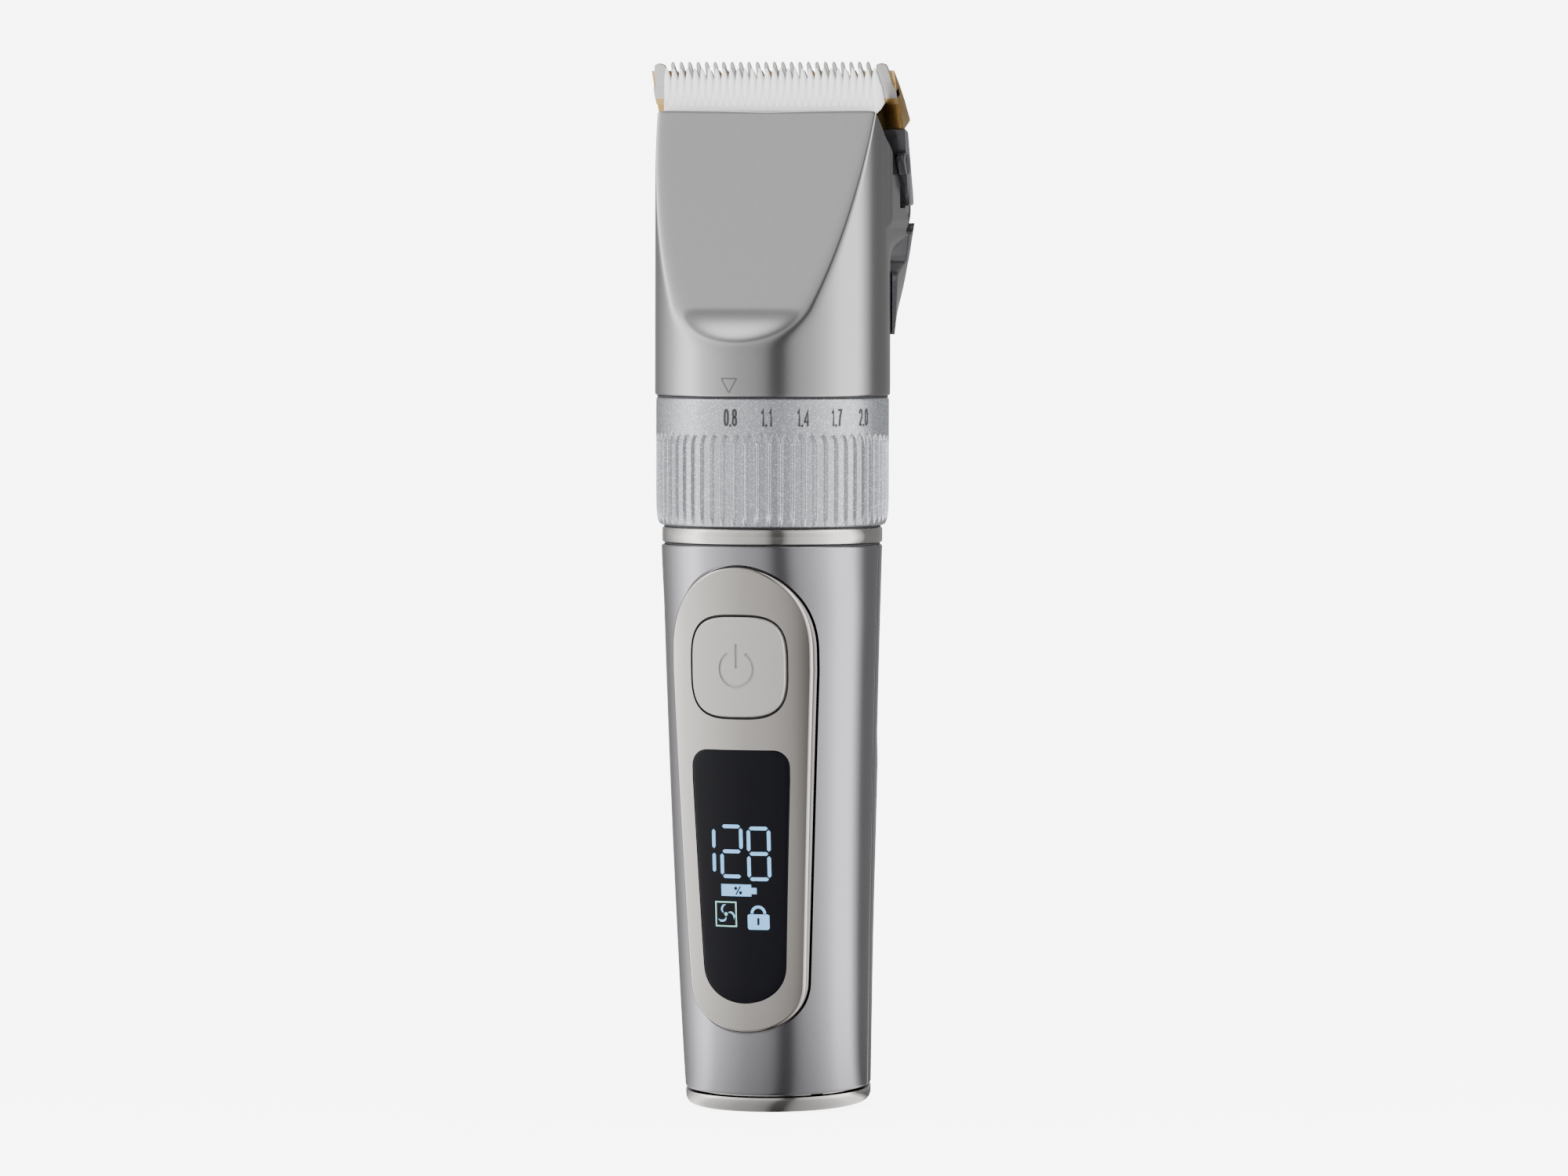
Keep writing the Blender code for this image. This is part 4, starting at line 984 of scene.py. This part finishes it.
# columns, closer together where the front flat and the rear corners begin
columns = []
d = 0.0
while d < 360 - 1e-6:
    columns.append(d)
    step = 1.0
    if 180 <= d < 202 or d >= 338:
        step = 0.25
    elif 202 <= d < 240 or 300 <= d < 338 or abs(d - 41.5) < 3 or abs(d - 138.5) < 3:
        step = 0.5
    d += step * 1

# rounded rims: (height above the lower edge, inset) and (depth below the upper edge, inset)
LOWER_RIM = [(0, .4), (.08, .16), (.22, .04), (.45, 0)]
UPPER_RIM = [(.5, 0.0), (.28, .05), (.1, .16), (0, .34)]
head_rows = 190
head_low = DIAL_TOP + SEAM
outer = [[] for _ in range(head_rows + 1)]
inner = [[] for _ in range(head_rows + 1)]
for deg in columns:
    phi = math.radians(deg)
    c, s = math.cos(phi), math.sin(phi)
    rim = rim_height(phi)
    for k in range(head_rows + 1):
        if k < 4:
            z = head_low + LOWER_RIM[k][0]
            inset = LOWER_RIM[k][1]
        elif k > head_rows - 4:
            drop, inset = UPPER_RIM[k - head_rows + 3]
            z = rim - drop
        else:
            u = (k - 3) / (head_rows - 7)
            z = head_low + .45 + (rim - .6 - head_low - .45) * u
            inset = 0.0
        r = head_outer(phi, z) - inset
        # the front steps back a little under its top lip
        lip = 0
        if s < -.17 and rim > HEAD_TOP - .4:
            lip = .22 * ease(HEAD_TOP - 1.15, HEAD_TOP - 1.45, z)
        outer[k].append((r * c, r * s + lip, z))
        r = min(head_inner(phi, z), r - .3)
        inner[k].append((r * c, r * s, z))
head = add_mesh("head_casing", sheet_mesh(outer, inner, True), GUN, angle=50)
boolean(head, [crosswise("rear_cut", [(9.0, 153.2), (30, 153.2), (30, 175), (9.0, 175)],
                         -30, 30),
               box((-17.6, 11.5, 148.7), (17.6, 30, 176))], angle=50)
assign(head, "handle", "head_shell")


def pointer_groove(name, start, end):
    """Dark strip between two (angle, z) places on the head's surface."""
    half, steps = .13, 8
    low, high = HEAD_RADIUS - .05, HEAD_RADIUS + .012
    across, up = (end[0] - start[0]) * HEAD_RADIUS, end[1] - start[1]
    length = math.hypot(across, up)
    nx, nz = -up / length * half, across / length * half
    rings = []
    for i in range(steps + 1):
        t = i / steps
        phi, z = start[0] + (end[0] - start[0]) * t, start[1] + up * t
        ring = []
        for side, r in ((-1, low), (1, low), (1, high), (-1, high)):
            a = phi + side * nx / HEAD_RADIUS
            ring.append((r * math.cos(a), r * math.sin(a), z + side * nz))
        rings.append(ring)
    assign(add_mesh(name, rings_mesh(rings), SHADOW), "handle")


# pointer above the dial: a triangle of three strips
POINTER = [(MARK + x / HEAD_RADIUS, z) for x, z in ((-1.4, 124.4), (1.4, 124.4), (0.0, 121.95))]
for i in range(3):
    pointer_groove(f"pointer_groove_{i}", POINTER[i], POINTER[(i + 1) % 3])

# ---------------------------------------------------------------- rear cover
COVER_LOW, COVER_HIGH, COVER_RADIUS, COVER_INNER = 131.6, 150.6, 20.75, 20.4
side = {0: .18, 120: .18, 1: .05, 119: .05}   # rolled side edges
outer, inner = [], []
for z in [COVER_LOW + (COVER_HIGH - COVER_LOW) * (i / 60) ** 1.3 for i in range(61)]:
    start = 22 + 21 * ease(141.2, 144.5, z)
    swell = ((z - 131.3) / 19.5) ** .42
    outer_row, inner_row = [], []
    for i in range(121):
        a = math.radians(start + (180 - 2 * start) * i / 120)
        c, s = math.cos(a), math.sin(a)
        full = max(boxy_radius(a), 20.9) + .4 * ease(.35, .75, abs(c))
        r = COVER_RADIUS + (full - COVER_RADIUS) * swell
        r = max(r - side.get(i, 0), 20.5)
        outer_row.append((r * c, r * s, z))
        inner_row.append((COVER_INNER * c, COVER_INNER * s, z))
    outer.append(outer_row)
    inner.append(inner_row)
cover = add_mesh("rear_fairing", sheet_mesh(outer, inner, False), SMOKE, angle=40)
boolean(cover, [pivot_rod(30, BARREL + .4)], angle=40)
assign(cover, "handle", "rear_hinge_cover")


# ---------------------------------------------------------------- cassette
def cassette_yz(L, w):
    c, s = math.cos(BLADE_TILT), math.sin(BLADE_TILT)
    return (TIP_Y + s * L + c * w, TIP_Z - c * L + s * w)


def cassette_point(x, L, w):
    return (x, *cassette_yz(L, w))


def skin_w(L):
    """Rear skin of the cassette."""
    return 0.75 + max(0.0, L - .6) * math.tan(SKIN_TILT - BLADE_TILT) * .93


def slant_y(z, offset):
    return (offset - SLANT_Z * z) / SLANT_Y


def screw_hole(side, w_end):
    """Cutter for one of the two holes near the foot of the blade."""
    x, L, radius = side * 12.0, 20.9, 1.15
    rings = [[cassette_point(x + radius * math.cos(a), L + radius * math.sin(a), w)
              for a in angles(0, 345, 24)] for w in (-2, w_end)]
    return add_mesh("screw_hole", rings_mesh(rings))


# fixed blade: steel comb
TOOTH_PITCH, TOOTH_ROOT = 1.54, 5.6


def tooth_profile(half_tip, half_root, tip):
    """Rounded pointed tooth in plan, from tip to root: (L, half width)."""
    out = []
    for i in range(10):
        t = i / 9
        half = half_root + (half_tip - half_root) * (1 - t) ** .9
        if t < .18:
            half *= math.sqrt(max(.04, 1 - ((.18 - t) / .18) ** 2))
        out.append((tip + (TOOTH_ROOT - tip) * t ** 1.35, half))
    return out


# (x, half tip, half root, L of the tip): a broad tooth at each end
teeth = [(-20.1, .9, 1.5, .35)]
teeth += [((i - 11.5) * TOOTH_PITCH, .27, .55, 0.0) for i in range(24)]
teeth += [(20.1, .9, 1.5, .35)]
comb_line = []
for x, half_tip, half_root, tip in teeth:
    profile = tooth_profile(half_tip, half_root, tip)
    comb_line += [(x - half, L) for L, half in reversed(profile)]
    comb_line += [(x + half, L) for L, half in profile]
# plate below the roots, right to left
comb_line += [(21.5, 4.2), (22.0, 5.6), (22.0, 6.9), (-22.0, 6.9), (-22.0, 5.6), (-21.5, 4.2)]


def comb_back(L):
    return min(.32 + L * .16, 1.3) if L < 5.0 else 1.3 + (L - 5) * .1


comb = add_mesh("fixed_comb", rings_mesh([[cassette_point(x, L, .02) for x, L in comb_line],
                                          [cassette_point(x, L, comb_back(L))
                                           for x, L in comb_line]]), GROUND, angle=35)
assign(comb, "cassette", "fixed_blade")

# gold back behind the comb: (L, w) section
BACK_SECTION = [(4.6, .55), (5.2, .12), (8.0, .12), (8.25, .6), (12.9, .6), (13.3, .9),
                (13.3, skin_w(13.3) * .90), (13.0, skin_w(13.0) * .93), (9, skin_w(9)),
                (5.6, skin_w(5.6) * .98), (2.2, .95), (1.9, .7)]
gold_back = crosswise("gold_back", [cassette_yz(L, w) for L, w in BACK_SECTION],
                      -CASSETTE_HALF, CASSETTE_HALF, GOLD)
# gaps between the teeth run through the gold back as well; each section of a gap is
# (L at w = -2, half width there, L at w = 6, half width there)
GAP_SECTIONS = [(-2, .30, -2, .30), (4.4, .22, 4.4, .1), (5.5, .04, 5.0, .02)]
gaps = []
for i in range(23):
    x = (i - 11) * TOOTH_PITCH
    gaps.append(rings_mesh([[cassette_point(x - half0, L0, -2), cassette_point(x + half0, L0, -2),
                             cassette_point(x + half1, L1, 6), cassette_point(x - half1, L1, 6)]
                            for L0, half0, L1, half1 in GAP_SECTIONS]))
boolean(gold_back, [add_mesh("gap_cut", join(gaps))])
assign(gold_back, "cassette", "fixed_blade")

tongue = crosswise("blade_tongue", [cassette_yz(12.4, .05), cassette_yz(22, .05),
                                    cassette_yz(22, 1.15), cassette_yz(12.4, 1.15)],
                   -15, 15, GOLD)
boolean(tongue, [screw_hole(side, 5) for side in (-1, 1)])
assign(tongue, "cassette", "fixed_blade")

# moving ceramic blade: rounded teeth growing out of a crowned bar
BLADE_FACE = -.13        # w of the blade's flat rear face
FLUTE_START, FLUTE_RUN = 1.05, 6.3


def ceramic_tooth(x):
    """Pointed tooth that widens until it meets its neighbours, then runs on as a flute."""
    rings = []
    for i in range(23):
        L = FLUTE_START + FLUTE_RUN * i / 22
        half = .12 + .47 * min(1.0, max(0.0, (L - FLUTE_START) / 2.1)) ** .9
        thick = .38 + .75 * ease(1.0, 2.6, L) + 1.75 * ease(1.8, 6.6, L)
        rings.append([cassette_point(x + half * math.cos(a), L,
                                     BLADE_FACE - thick * math.sin(a) ** .75)
                      for a in angles(0, 180, 15)])
    return rings_mesh(rings)


ceramic_teeth = add_mesh("teeth", join(ceramic_tooth((i - 14.5) * 1.3) for i in range(30)))
# (L, half width, thickness)
BLADE_STATIONS = [(3.1, 19.2, .62), (3.6, 19.45, .92), (4.3, 19.6, 1.35), (5.2, 19.7, 1.95),
                  (6.1, 19.7, 2.55), (6.9, 19.7, 2.98), (7.6, 19.7, 3.3), (8.1, 19.45, 3.5),
                  (8.5, 18.6, 3.5), (9.2, 14.6, 3.5), (9.6, 14.4, 3.5), (16.6, 14.4, 3.5),
                  (16.9, 14.1, 3.2)]
rings = []
for L, half, thick in BLADE_STATIONS:
    shoulder, edge = BLADE_FACE - thick * .55, BLADE_FACE - thick * .93
    crown = BLADE_FACE - thick + .13
    section = [(-half, BLADE_FACE), (half, BLADE_FACE), (half, shoulder), (half - .35, edge),
               (half - .9, crown), (-half + .9, crown), (-half + .35, edge), (-half, shoulder)]
    rings.append([cassette_point(x, L, w) for x, w in section])
blade = add_mesh("ceramic_blade", rings_mesh(rings), CERAMIC)
boolean(blade, [ceramic_teeth], "UNION", angle=40)
set_material(blade, CERAMIC)
assign(blade, "stroke", "moving_blade")

# ---------------------------------------------------------------- blade carrier
# smoked shell that narrows to the rear, with a rounded hinge end
section = [cassette_yz(13.35, 1.55), (slant_y(166.0, SKIN_SLANT) - .15, 166.35)]
section += [(PIVOT_Y + BARREL * math.cos(math.radians(a)),
             PIVOT_Z + BARREL * math.sin(math.radians(a))) for a in (46, 38, 30, 22, 14, 7)]
section += [(slant_y(153.6, CARRIER_SLANT), 153.6), (10.6, 156.72)]
carrier = add_mesh("cassette_body", rings_mesh([
    [(side * (CASSETTE_HALF - (y - 6) * .265), y, z) for y, z in section]
    for side in (-1, 1)]), SMOKE)
bevel(carrier, .45)
boolean(carrier, [pivot_rod(17.2, BARREL - .02)], "UNION")
pin_hole = pivot_rod(18.3, 1.15, 48)
groove_high, groove_low = 163.2, 157.6
skin_high, skin_low = slant_y(groove_high, SKIN_SLANT), slant_y(groove_low, SKIN_SLANT)
skin_groove = crosswise("skin_groove", [
    (skin_high + 3, groove_high), (skin_high - .35, groove_high),
    (skin_low - .35, groove_low), (skin_low + 3, groove_low)], -14.5, 14.5)
boolean(carrier, [pin_hole, skin_groove] + [screw_hole(side, 5.2) for side in (-1, 1)])
# weld and close the seams left by the cuts
bm = bmesh.new()
bm.from_mesh(carrier.data)
bmesh.ops.remove_doubles(bm, verts=bm.verts, dist=2e-6)
open_edges = [e for e in bm.edges if len(e.link_faces) == 1]
if open_edges:
    bmesh.ops.holes_fill(bm, edges=open_edges, sides=0)
bmesh.ops.recalc_face_normals(bm, faces=bm.faces)
bm.to_mesh(carrier.data)
bm.free()
carrier.data.set_sharp_from_angle(angle=math.radians(30))
set_material(carrier, SMOKE)
assign(carrier, "cassette", "blade_carrier")

LUG_SECTION = [(6.2, 161.4), (6.9, 162.7), (9.0, 162.4), (9.6, 160.6), (9.2, 158.9),
               (7.6, 158.8)]   # (y, z)
for side, name in ((-1, "left"), (1, "right")):
    lug = crosswise("catch_lug_" + name, LUG_SECTION, side * 20.0, side * 21.6, SMOKE)
    bevel(lug, .3)
    assign(lug, "cassette")

# ---------------------------------------------------------------- display graphics
# outlines are (x, s) on the panel
ICON_UP, MARK_UP, ICON_THICK = -.10, -.17, .05   # marks lie in front of the icons


def icon(name, line, material=ICE, up=ICON_UP):
    plate = thin_plate(name, line, up, up + ICON_THICK, material)
    assign(plate, "handle")


def rectangle(left, right, top, bottom):
    return [(left, top), (right, top), (right, bottom), (left, bottom)]


# seven-segment digits; _X is measured across the display, _Z up it
HALF_X, HALF_Z = .31275, .30806   # half thickness and point of a segment
RAIL_X, RAIL_Z = .27196, .26788   # from a digit's edge to the outer segments' middle
GAP_X, GAP_Z = .39434, .38843     # from a digit's edge or middle to a segment's point
END_Z = .52237                    # from the top or bottom to an upright's point


def segment_bar(name, start, end):
    """Bar with a pointed tip at each end."""
    (ax, az), (bx, bz) = start, end
    length = math.dist(start, end)
    ux, uz = (bx - ax) / length, (bz - az) / length
    tx, tz = ux * HALF_X, uz * HALF_Z
    nx, nz = uz * HALF_X, -ux * HALF_Z
    icon(name, [start, (ax + tx + nx, az + tz + nz), (bx - tx + nx, bz - tz + nz), end,
                (bx - tx - nx, bz - tz - nz), (ax + tx - nx, az + tz - nz)])


def digit(name, left, right, top, bottom, segments):
    middle = (top + bottom) / 2

    def level(z):
        return (left + GAP_X, z), (right - GAP_X, z)

    def upper(x):
        return (x, top - END_Z), (x, middle + GAP_Z)

    def lower(x):
        return (x, middle - GAP_Z), (x, bottom + END_Z)

    near, far = left + RAIL_X, right - RAIL_X
    lines = {"a": level(top - RAIL_Z), "g": level(middle), "d": level(bottom + RAIL_Z),
             "f": upper(near), "b": upper(far), "e": lower(near), "c": lower(far)}
    for s in segments:
        segment_bar(f"{name}_{s}", *lines[s])


digit("digit_hundreds", -7.75087, -4.62333, 48.87565, 40.57134, "bc")
digit("digit_tens", -3.67147, .40794, 49.14353, 40.16952, "abged")
digit("digit_ones", 1.22382, 5.30323, 48.87565, 39.76769, "abcdefg")

# battery with a percent sign on it
icon("battery_icon", [(-3.6715, 39.0980), (1.7677, 39.0980), (1.7677, 38.5622),
                      (2.7196, 38.5622), (2.7196, 37.4907), (1.7677, 37.4907),
                      (1.7677, 37.0889), (-3.6715, 37.0889)])
icon("percent_bar", [(-1.0878, 37.3568), (-.8703, 37.3568), (-.0544, 38.7631),
                     (-.2720, 38.7631)], LENS, MARK_UP)
for i, (x, z) in enumerate(((-1.00625, 38.42829), (-.13598, 37.67822))):
    icon(f"percent_dot_{i}", [(x + .25836 * math.cos(a), z - .28128 * math.sin(a))
                              for a in angles(0, 330, 12)], LENS, MARK_UP)

# fan in a square frame
LEFT_OUT, LEFT_IN, RIGHT_IN, RIGHT_OUT = -4.8953, -4.6777, -1.1694, -.9519
TOP_OUT, TOP_IN, BOTTOM_IN, BOTTOM_OUT = 36.1513, 35.9370, 32.0795, 31.8652
for name, sides in (("t", (LEFT_OUT, RIGHT_OUT, TOP_OUT, TOP_IN)),
                    ("b", (LEFT_OUT, RIGHT_OUT, BOTTOM_IN, BOTTOM_OUT)),
                    ("l", (LEFT_OUT, LEFT_IN, TOP_IN, BOTTOM_IN)),
                    ("r", (RIGHT_IN, RIGHT_OUT, TOP_IN, BOTTOM_IN))):
    icon("fan_frame_" + name, rectangle(*sides), MINT)
FAN_X, FAN_Z = -2.92358, 34.00825
FAN_SQUASH = .985        # height of the fan over its width


def fan_point(radius, a):
    return (FAN_X + radius * math.cos(a), FAN_Z - FAN_SQUASH * radius * math.sin(a))


def blade_point(start, t, sweep):
    """Point on a fan blade's edge, t from the hub to the tip, turned back by sweep."""
    return fan_point(.40794 + 1.29181 * t ** .8, math.radians(start + 62 * t - sweep))


for k in range(3):
    start = 120 * k - 30
    leading = [blade_point(start, i / 8, 0) for i in range(9)]
    trailing = [blade_point(start, t, 48 * (t ** .6) * (1 - t * .55))
                for t in (i / 8 for i in range(8, 0, -1))]
    icon(f"fan_blade_{k}", leading + trailing)
icon("fan_hub", [fan_point(.29916, a) for a in angles(0, 345, 24)], MINT)

# padlock
LOCK_X = 2.92358
icon("padlock_body", [(1.0199, 33.8743), (1.2918, 34.0752), (4.5553, 34.0752),
                      (4.8273, 33.8743), (4.8273, 31.7313), (4.5553, 31.4634),
                      (1.2918, 31.4634), (1.0199, 31.7313)])
shackle = arc_bar("padlock_shackle", (LOCK_X, 34.20916), 1.12, .24, 0, 180, 30,
                  ICON_UP, ICON_UP + ICON_THICK, ICE)
assign(shackle, "handle")
icon("padlock_keyhole", [(2.7468, 33.3386), (LOCK_X, 33.5261), (3.1004, 33.3386),
                         (3.1004, 32.2670), (2.7468, 32.2670)], LENS, MARK_UP)

# ---------------------------------------------------------------- carried-over pieces
FINISHES = {
    "display_module": NYLON, "control_board": BOARD, "power_switch": BLACK,
    "battery_cell": SLEEVE, "battery_tab_positive": STEEL, "battery_tab_negative": STEEL,
    "battery_foam_pad": RUBBER, "charge_socket": STEEL, "charge_tongue": BLACK,
    "motor_chassis": BLACK, "motor_can": STEEL, "motor_end_cap": BLACK,
    "motor_lead_positive": RED, "motor_lead_negative": BLACK, "chassis_screw_left": STEEL,
    "chassis_screw_right": STEEL, "motor_shaft": STEEL, "drive_cam": BRASS,
    "adjust_pusher": NYLON, "pusher_spring": STEEL, "hinge_pin": STEEL,
    "drive_follower": NYLON, "blade_slide": BLACK, "fixed_blade_screw_left": STEEL,
    "fixed_blade_screw_right": STEEL, "tension_spring": STEEL}
for name, material in FINISHES.items():
    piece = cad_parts[name]
    if not piece.material_slots:
        piece.data.materials.append(material)
    for material_slot in piece.material_slots:
        material_slot.link = "OBJECT"
        material_slot.material = material

# ---------------------------------------------------------------- reflected studio
# What shiny surfaces see. (degrees round from the ramp's centre, brightness):
# a dark gap in the middle between broad bright cards, dim beyond
CARDS = [(-180, .40), (-158, .30), (-138, .75), (-121, 1.7), (-106, 3.4), (-94, 4.2),
         (-79, 2.2), (-60, 1.5), (-42, 1.02), (-27, .88), (-14, .62), (-5, .14), (4, .14),
         (12, .68), (20, .95), (34, 1.3), (50, 2.0), (64, 3.3), (86, 3.5), (97, 1.2),
         (108, .24), (140, .26), (180, .40)]
GAP_CENTRE = -1.2217 + 0.10   # direction of the ramp's centre, radians from +x
# (elevation from straight down 0 to straight up 1, brightness)
HEIGHTS = [(0.0, .5), (0.40, 1.0), (0.58, 1.0), (0.67, 1.15), (0.715, 1.15), (0.76, .42),
           (0.81, .5), (0.86, 1.15), (1.0, .9)]
CARD_SCALE, HEIGHT_SCALE = 5, 2   # keep the ramp colours under 1


def studio(tree, direction):
    """Reflected brightness by direction: round the product, then by height."""
    parts = node(tree, "SeparateXYZ", {0: direction})
    x, y, z = parts.outputs
    turn = calc(tree, "SUBTRACT", calc(tree, "ARCTAN2", y, x), GAP_CENTRE)
    turn = calc(tree, "ARCTAN2", calc(tree, "SINE", turn), calc(tree, "COSINE", turn))
    turn = calc(tree, "ADD", calc(tree, "DIVIDE", turn, 2 * math.pi), 0.5)
    around = grey_ramp(tree, turn, [((deg + 180) / 360, b / CARD_SCALE) for deg, b in CARDS])
    flat = calc(tree, "SQRT", calc(tree, "ADD", calc(tree, "MULTIPLY", x, x),
                                   calc(tree, "MULTIPLY", y, y)))
    rise = calc(tree, "DIVIDE", calc(tree, "ARCTAN2", z, flat), math.pi)
    up = grey_ramp(tree, calc(tree, "ADD", rise, 0.5),
                   [(p, b / HEIGHT_SCALE) for p, b in HEIGHTS], "EASE")
    return calc(tree, "MULTIPLY", calc(tree, "MULTIPLY", around, up),
                float(CARD_SCALE * HEIGHT_SCALE))


# ---------------------------------------------------------------- floor
# pale to the camera; reflections see the studio in its place
floor_material = bpy.data.materials.new("pale_floor")
floor_material.use_nodes = True
tree = floor_material.node_tree
path = node(tree, "LightPath").outputs
clouds = node(tree, "TexNoise", {"Scale": 3.0})
pale = node(tree, "MapRange", {"Value": clouds.outputs["Fac"], "To Min": 0.90, "To Max": 0.94})
place = node(tree, "NewGeometry").outputs["Position"]
# direction from the middle of the product, in metres
outward = node(tree, "VectorMath", {0: place, 1: (0, 0, 0.09)}, operation="SUBTRACT")
seen = calc(tree, "MULTIPLY", path["Is Camera Ray"], 6.0)
reflected = calc(tree, "MULTIPLY", studio(tree, outward.outputs["Vector"]),
                 path["Is Glossy Ray"])
floor_shader = tree.nodes["Principled BSDF"]
floor_shader.inputs["Base Color"].default_value = (0.92, 0.92, 0.92, 1)
wire(floor_shader, {
    "Base Color": mix_colours(tree, path["Is Glossy Ray"], pale.outputs["Result"],
                              (0.0, 0.0, 0.0, 1)),
    "Roughness": 0.7, "Emission Color": (1, 1, 1, 1),
    "Emission Strength": calc(tree, "ADD", seen, reflected)})

# (y, z) in metres: flat floor, quarter-round sweep, wall behind
floor_z = CAD_BOX[0][2] if len(CAD_BOX) == 2 else -0.0012
SWEEP = 1.2
profile = [(-3.0, floor_z)]
profile += [(SWEEP + SWEEP * math.sin(a), floor_z + SWEEP - SWEEP * math.cos(a))
            for a in angles(0, 90, 24)]
profile += [(2 * SWEEP, 4.0)]
n = len(profile)
floor_data = bpy.data.meshes.new("floor")
floor_data.from_pydata([(x, y, z) for x in (-6, 6) for y, z in profile], [],
                       [(i, n + i, n + i + 1, i + 1) for i in range(n - 1)])
floor = bpy.data.objects.new("floor", floor_data)
bpy.context.scene.collection.objects.link(floor)
floor_data.materials.append(floor_material)
floor_data.shade_smooth()

# ---------------------------------------------------------------- lights
VIEW_AZIMUTH = math.radians(20)   # camera's turn from -y towards +x


def view_direction(azimuth, elevation):
    """Unit vector from the product; azimuth 0 is -y and grows towards +x."""
    flat = math.cos(elevation)
    return Vector((math.sin(azimuth) * flat, -math.cos(azimuth) * flat, math.sin(elevation)))


def area(name, azimuth, elevation, distance, size, power):
    """Soft rectangular light aimed at the product, placed relative to the camera."""
    light = bpy.data.lights.new(name, "AREA")
    light.shape = "RECTANGLE"
    light.size, light.size_y = size
    light.energy = power
    light.spread = math.pi
    o = bpy.data.objects.new(name, light)
    bpy.context.scene.collection.objects.link(o)
    direction = view_direction(VIEW_AZIMUTH + math.radians(azimuth), math.radians(elevation))
    o.location = Vector((0, 0, .09)) + direction * distance
    o.rotation_euler = (-direction).to_track_quat("-Z", "Y").to_euler()
    o.visible_glossy = False


area("softbox_left", azimuth=-40, elevation=4, distance=1.0, size=(1.25, 1.15), power=13)
area("softbox_right", azimuth=44, elevation=4, distance=1.0, size=(1.25, 1.15), power=13)
area("upper_left", azimuth=-42, elevation=44, distance=1.15, size=(1.5, .75), power=5.5)
area("upper_right", azimuth=46, elevation=44, distance=1.15, size=(1.5, .75), power=5.5)
area("top_light", azimuth=0, elevation=80, distance=1.3, size=(1.2, 1.2), power=9)

# world: white, except that reflections see the studio
world = bpy.data.worlds.new("studio")
bpy.context.scene.world = world
world.use_nodes = True
tree = world.node_tree
glossy = node(tree, "LightPath").outputs["Is Glossy Ray"]
direction = node(tree, "TexCoord").outputs["Generated"]
wire(tree.nodes["Background"], {
    "Color": mix_colours(tree, glossy, (1, 1, 1, 1), studio(tree, direction)),
    "Strength": 1.0})

# ---------------------------------------------------------------- camera
CAMERA_DISTANCE = 2.009       # metres
camera_data = bpy.data.cameras.new("camera")
camera_data.lens = 270.0
camera_data.sensor_width = 36.0
camera_data.clip_start = 0.01
camera_data.clip_end = 50
camera = bpy.data.objects.new("camera", camera_data)
bpy.context.scene.collection.objects.link(camera)
right = Vector((math.cos(VIEW_AZIMUTH), math.sin(VIEW_AZIMUTH), 0))
target = Vector((0, 0, 0.0883)) + right * 0.0020
direction = view_direction(VIEW_AZIMUTH, math.radians(2.0))
camera.location = target + direction * CAMERA_DISTANCE
camera.rotation_euler = (-direction).to_track_quat("-Z", "Y").to_euler()
camera.rotation_euler.rotate_axis("Z", math.radians(0.1))
bpy.context.scene.camera = camera
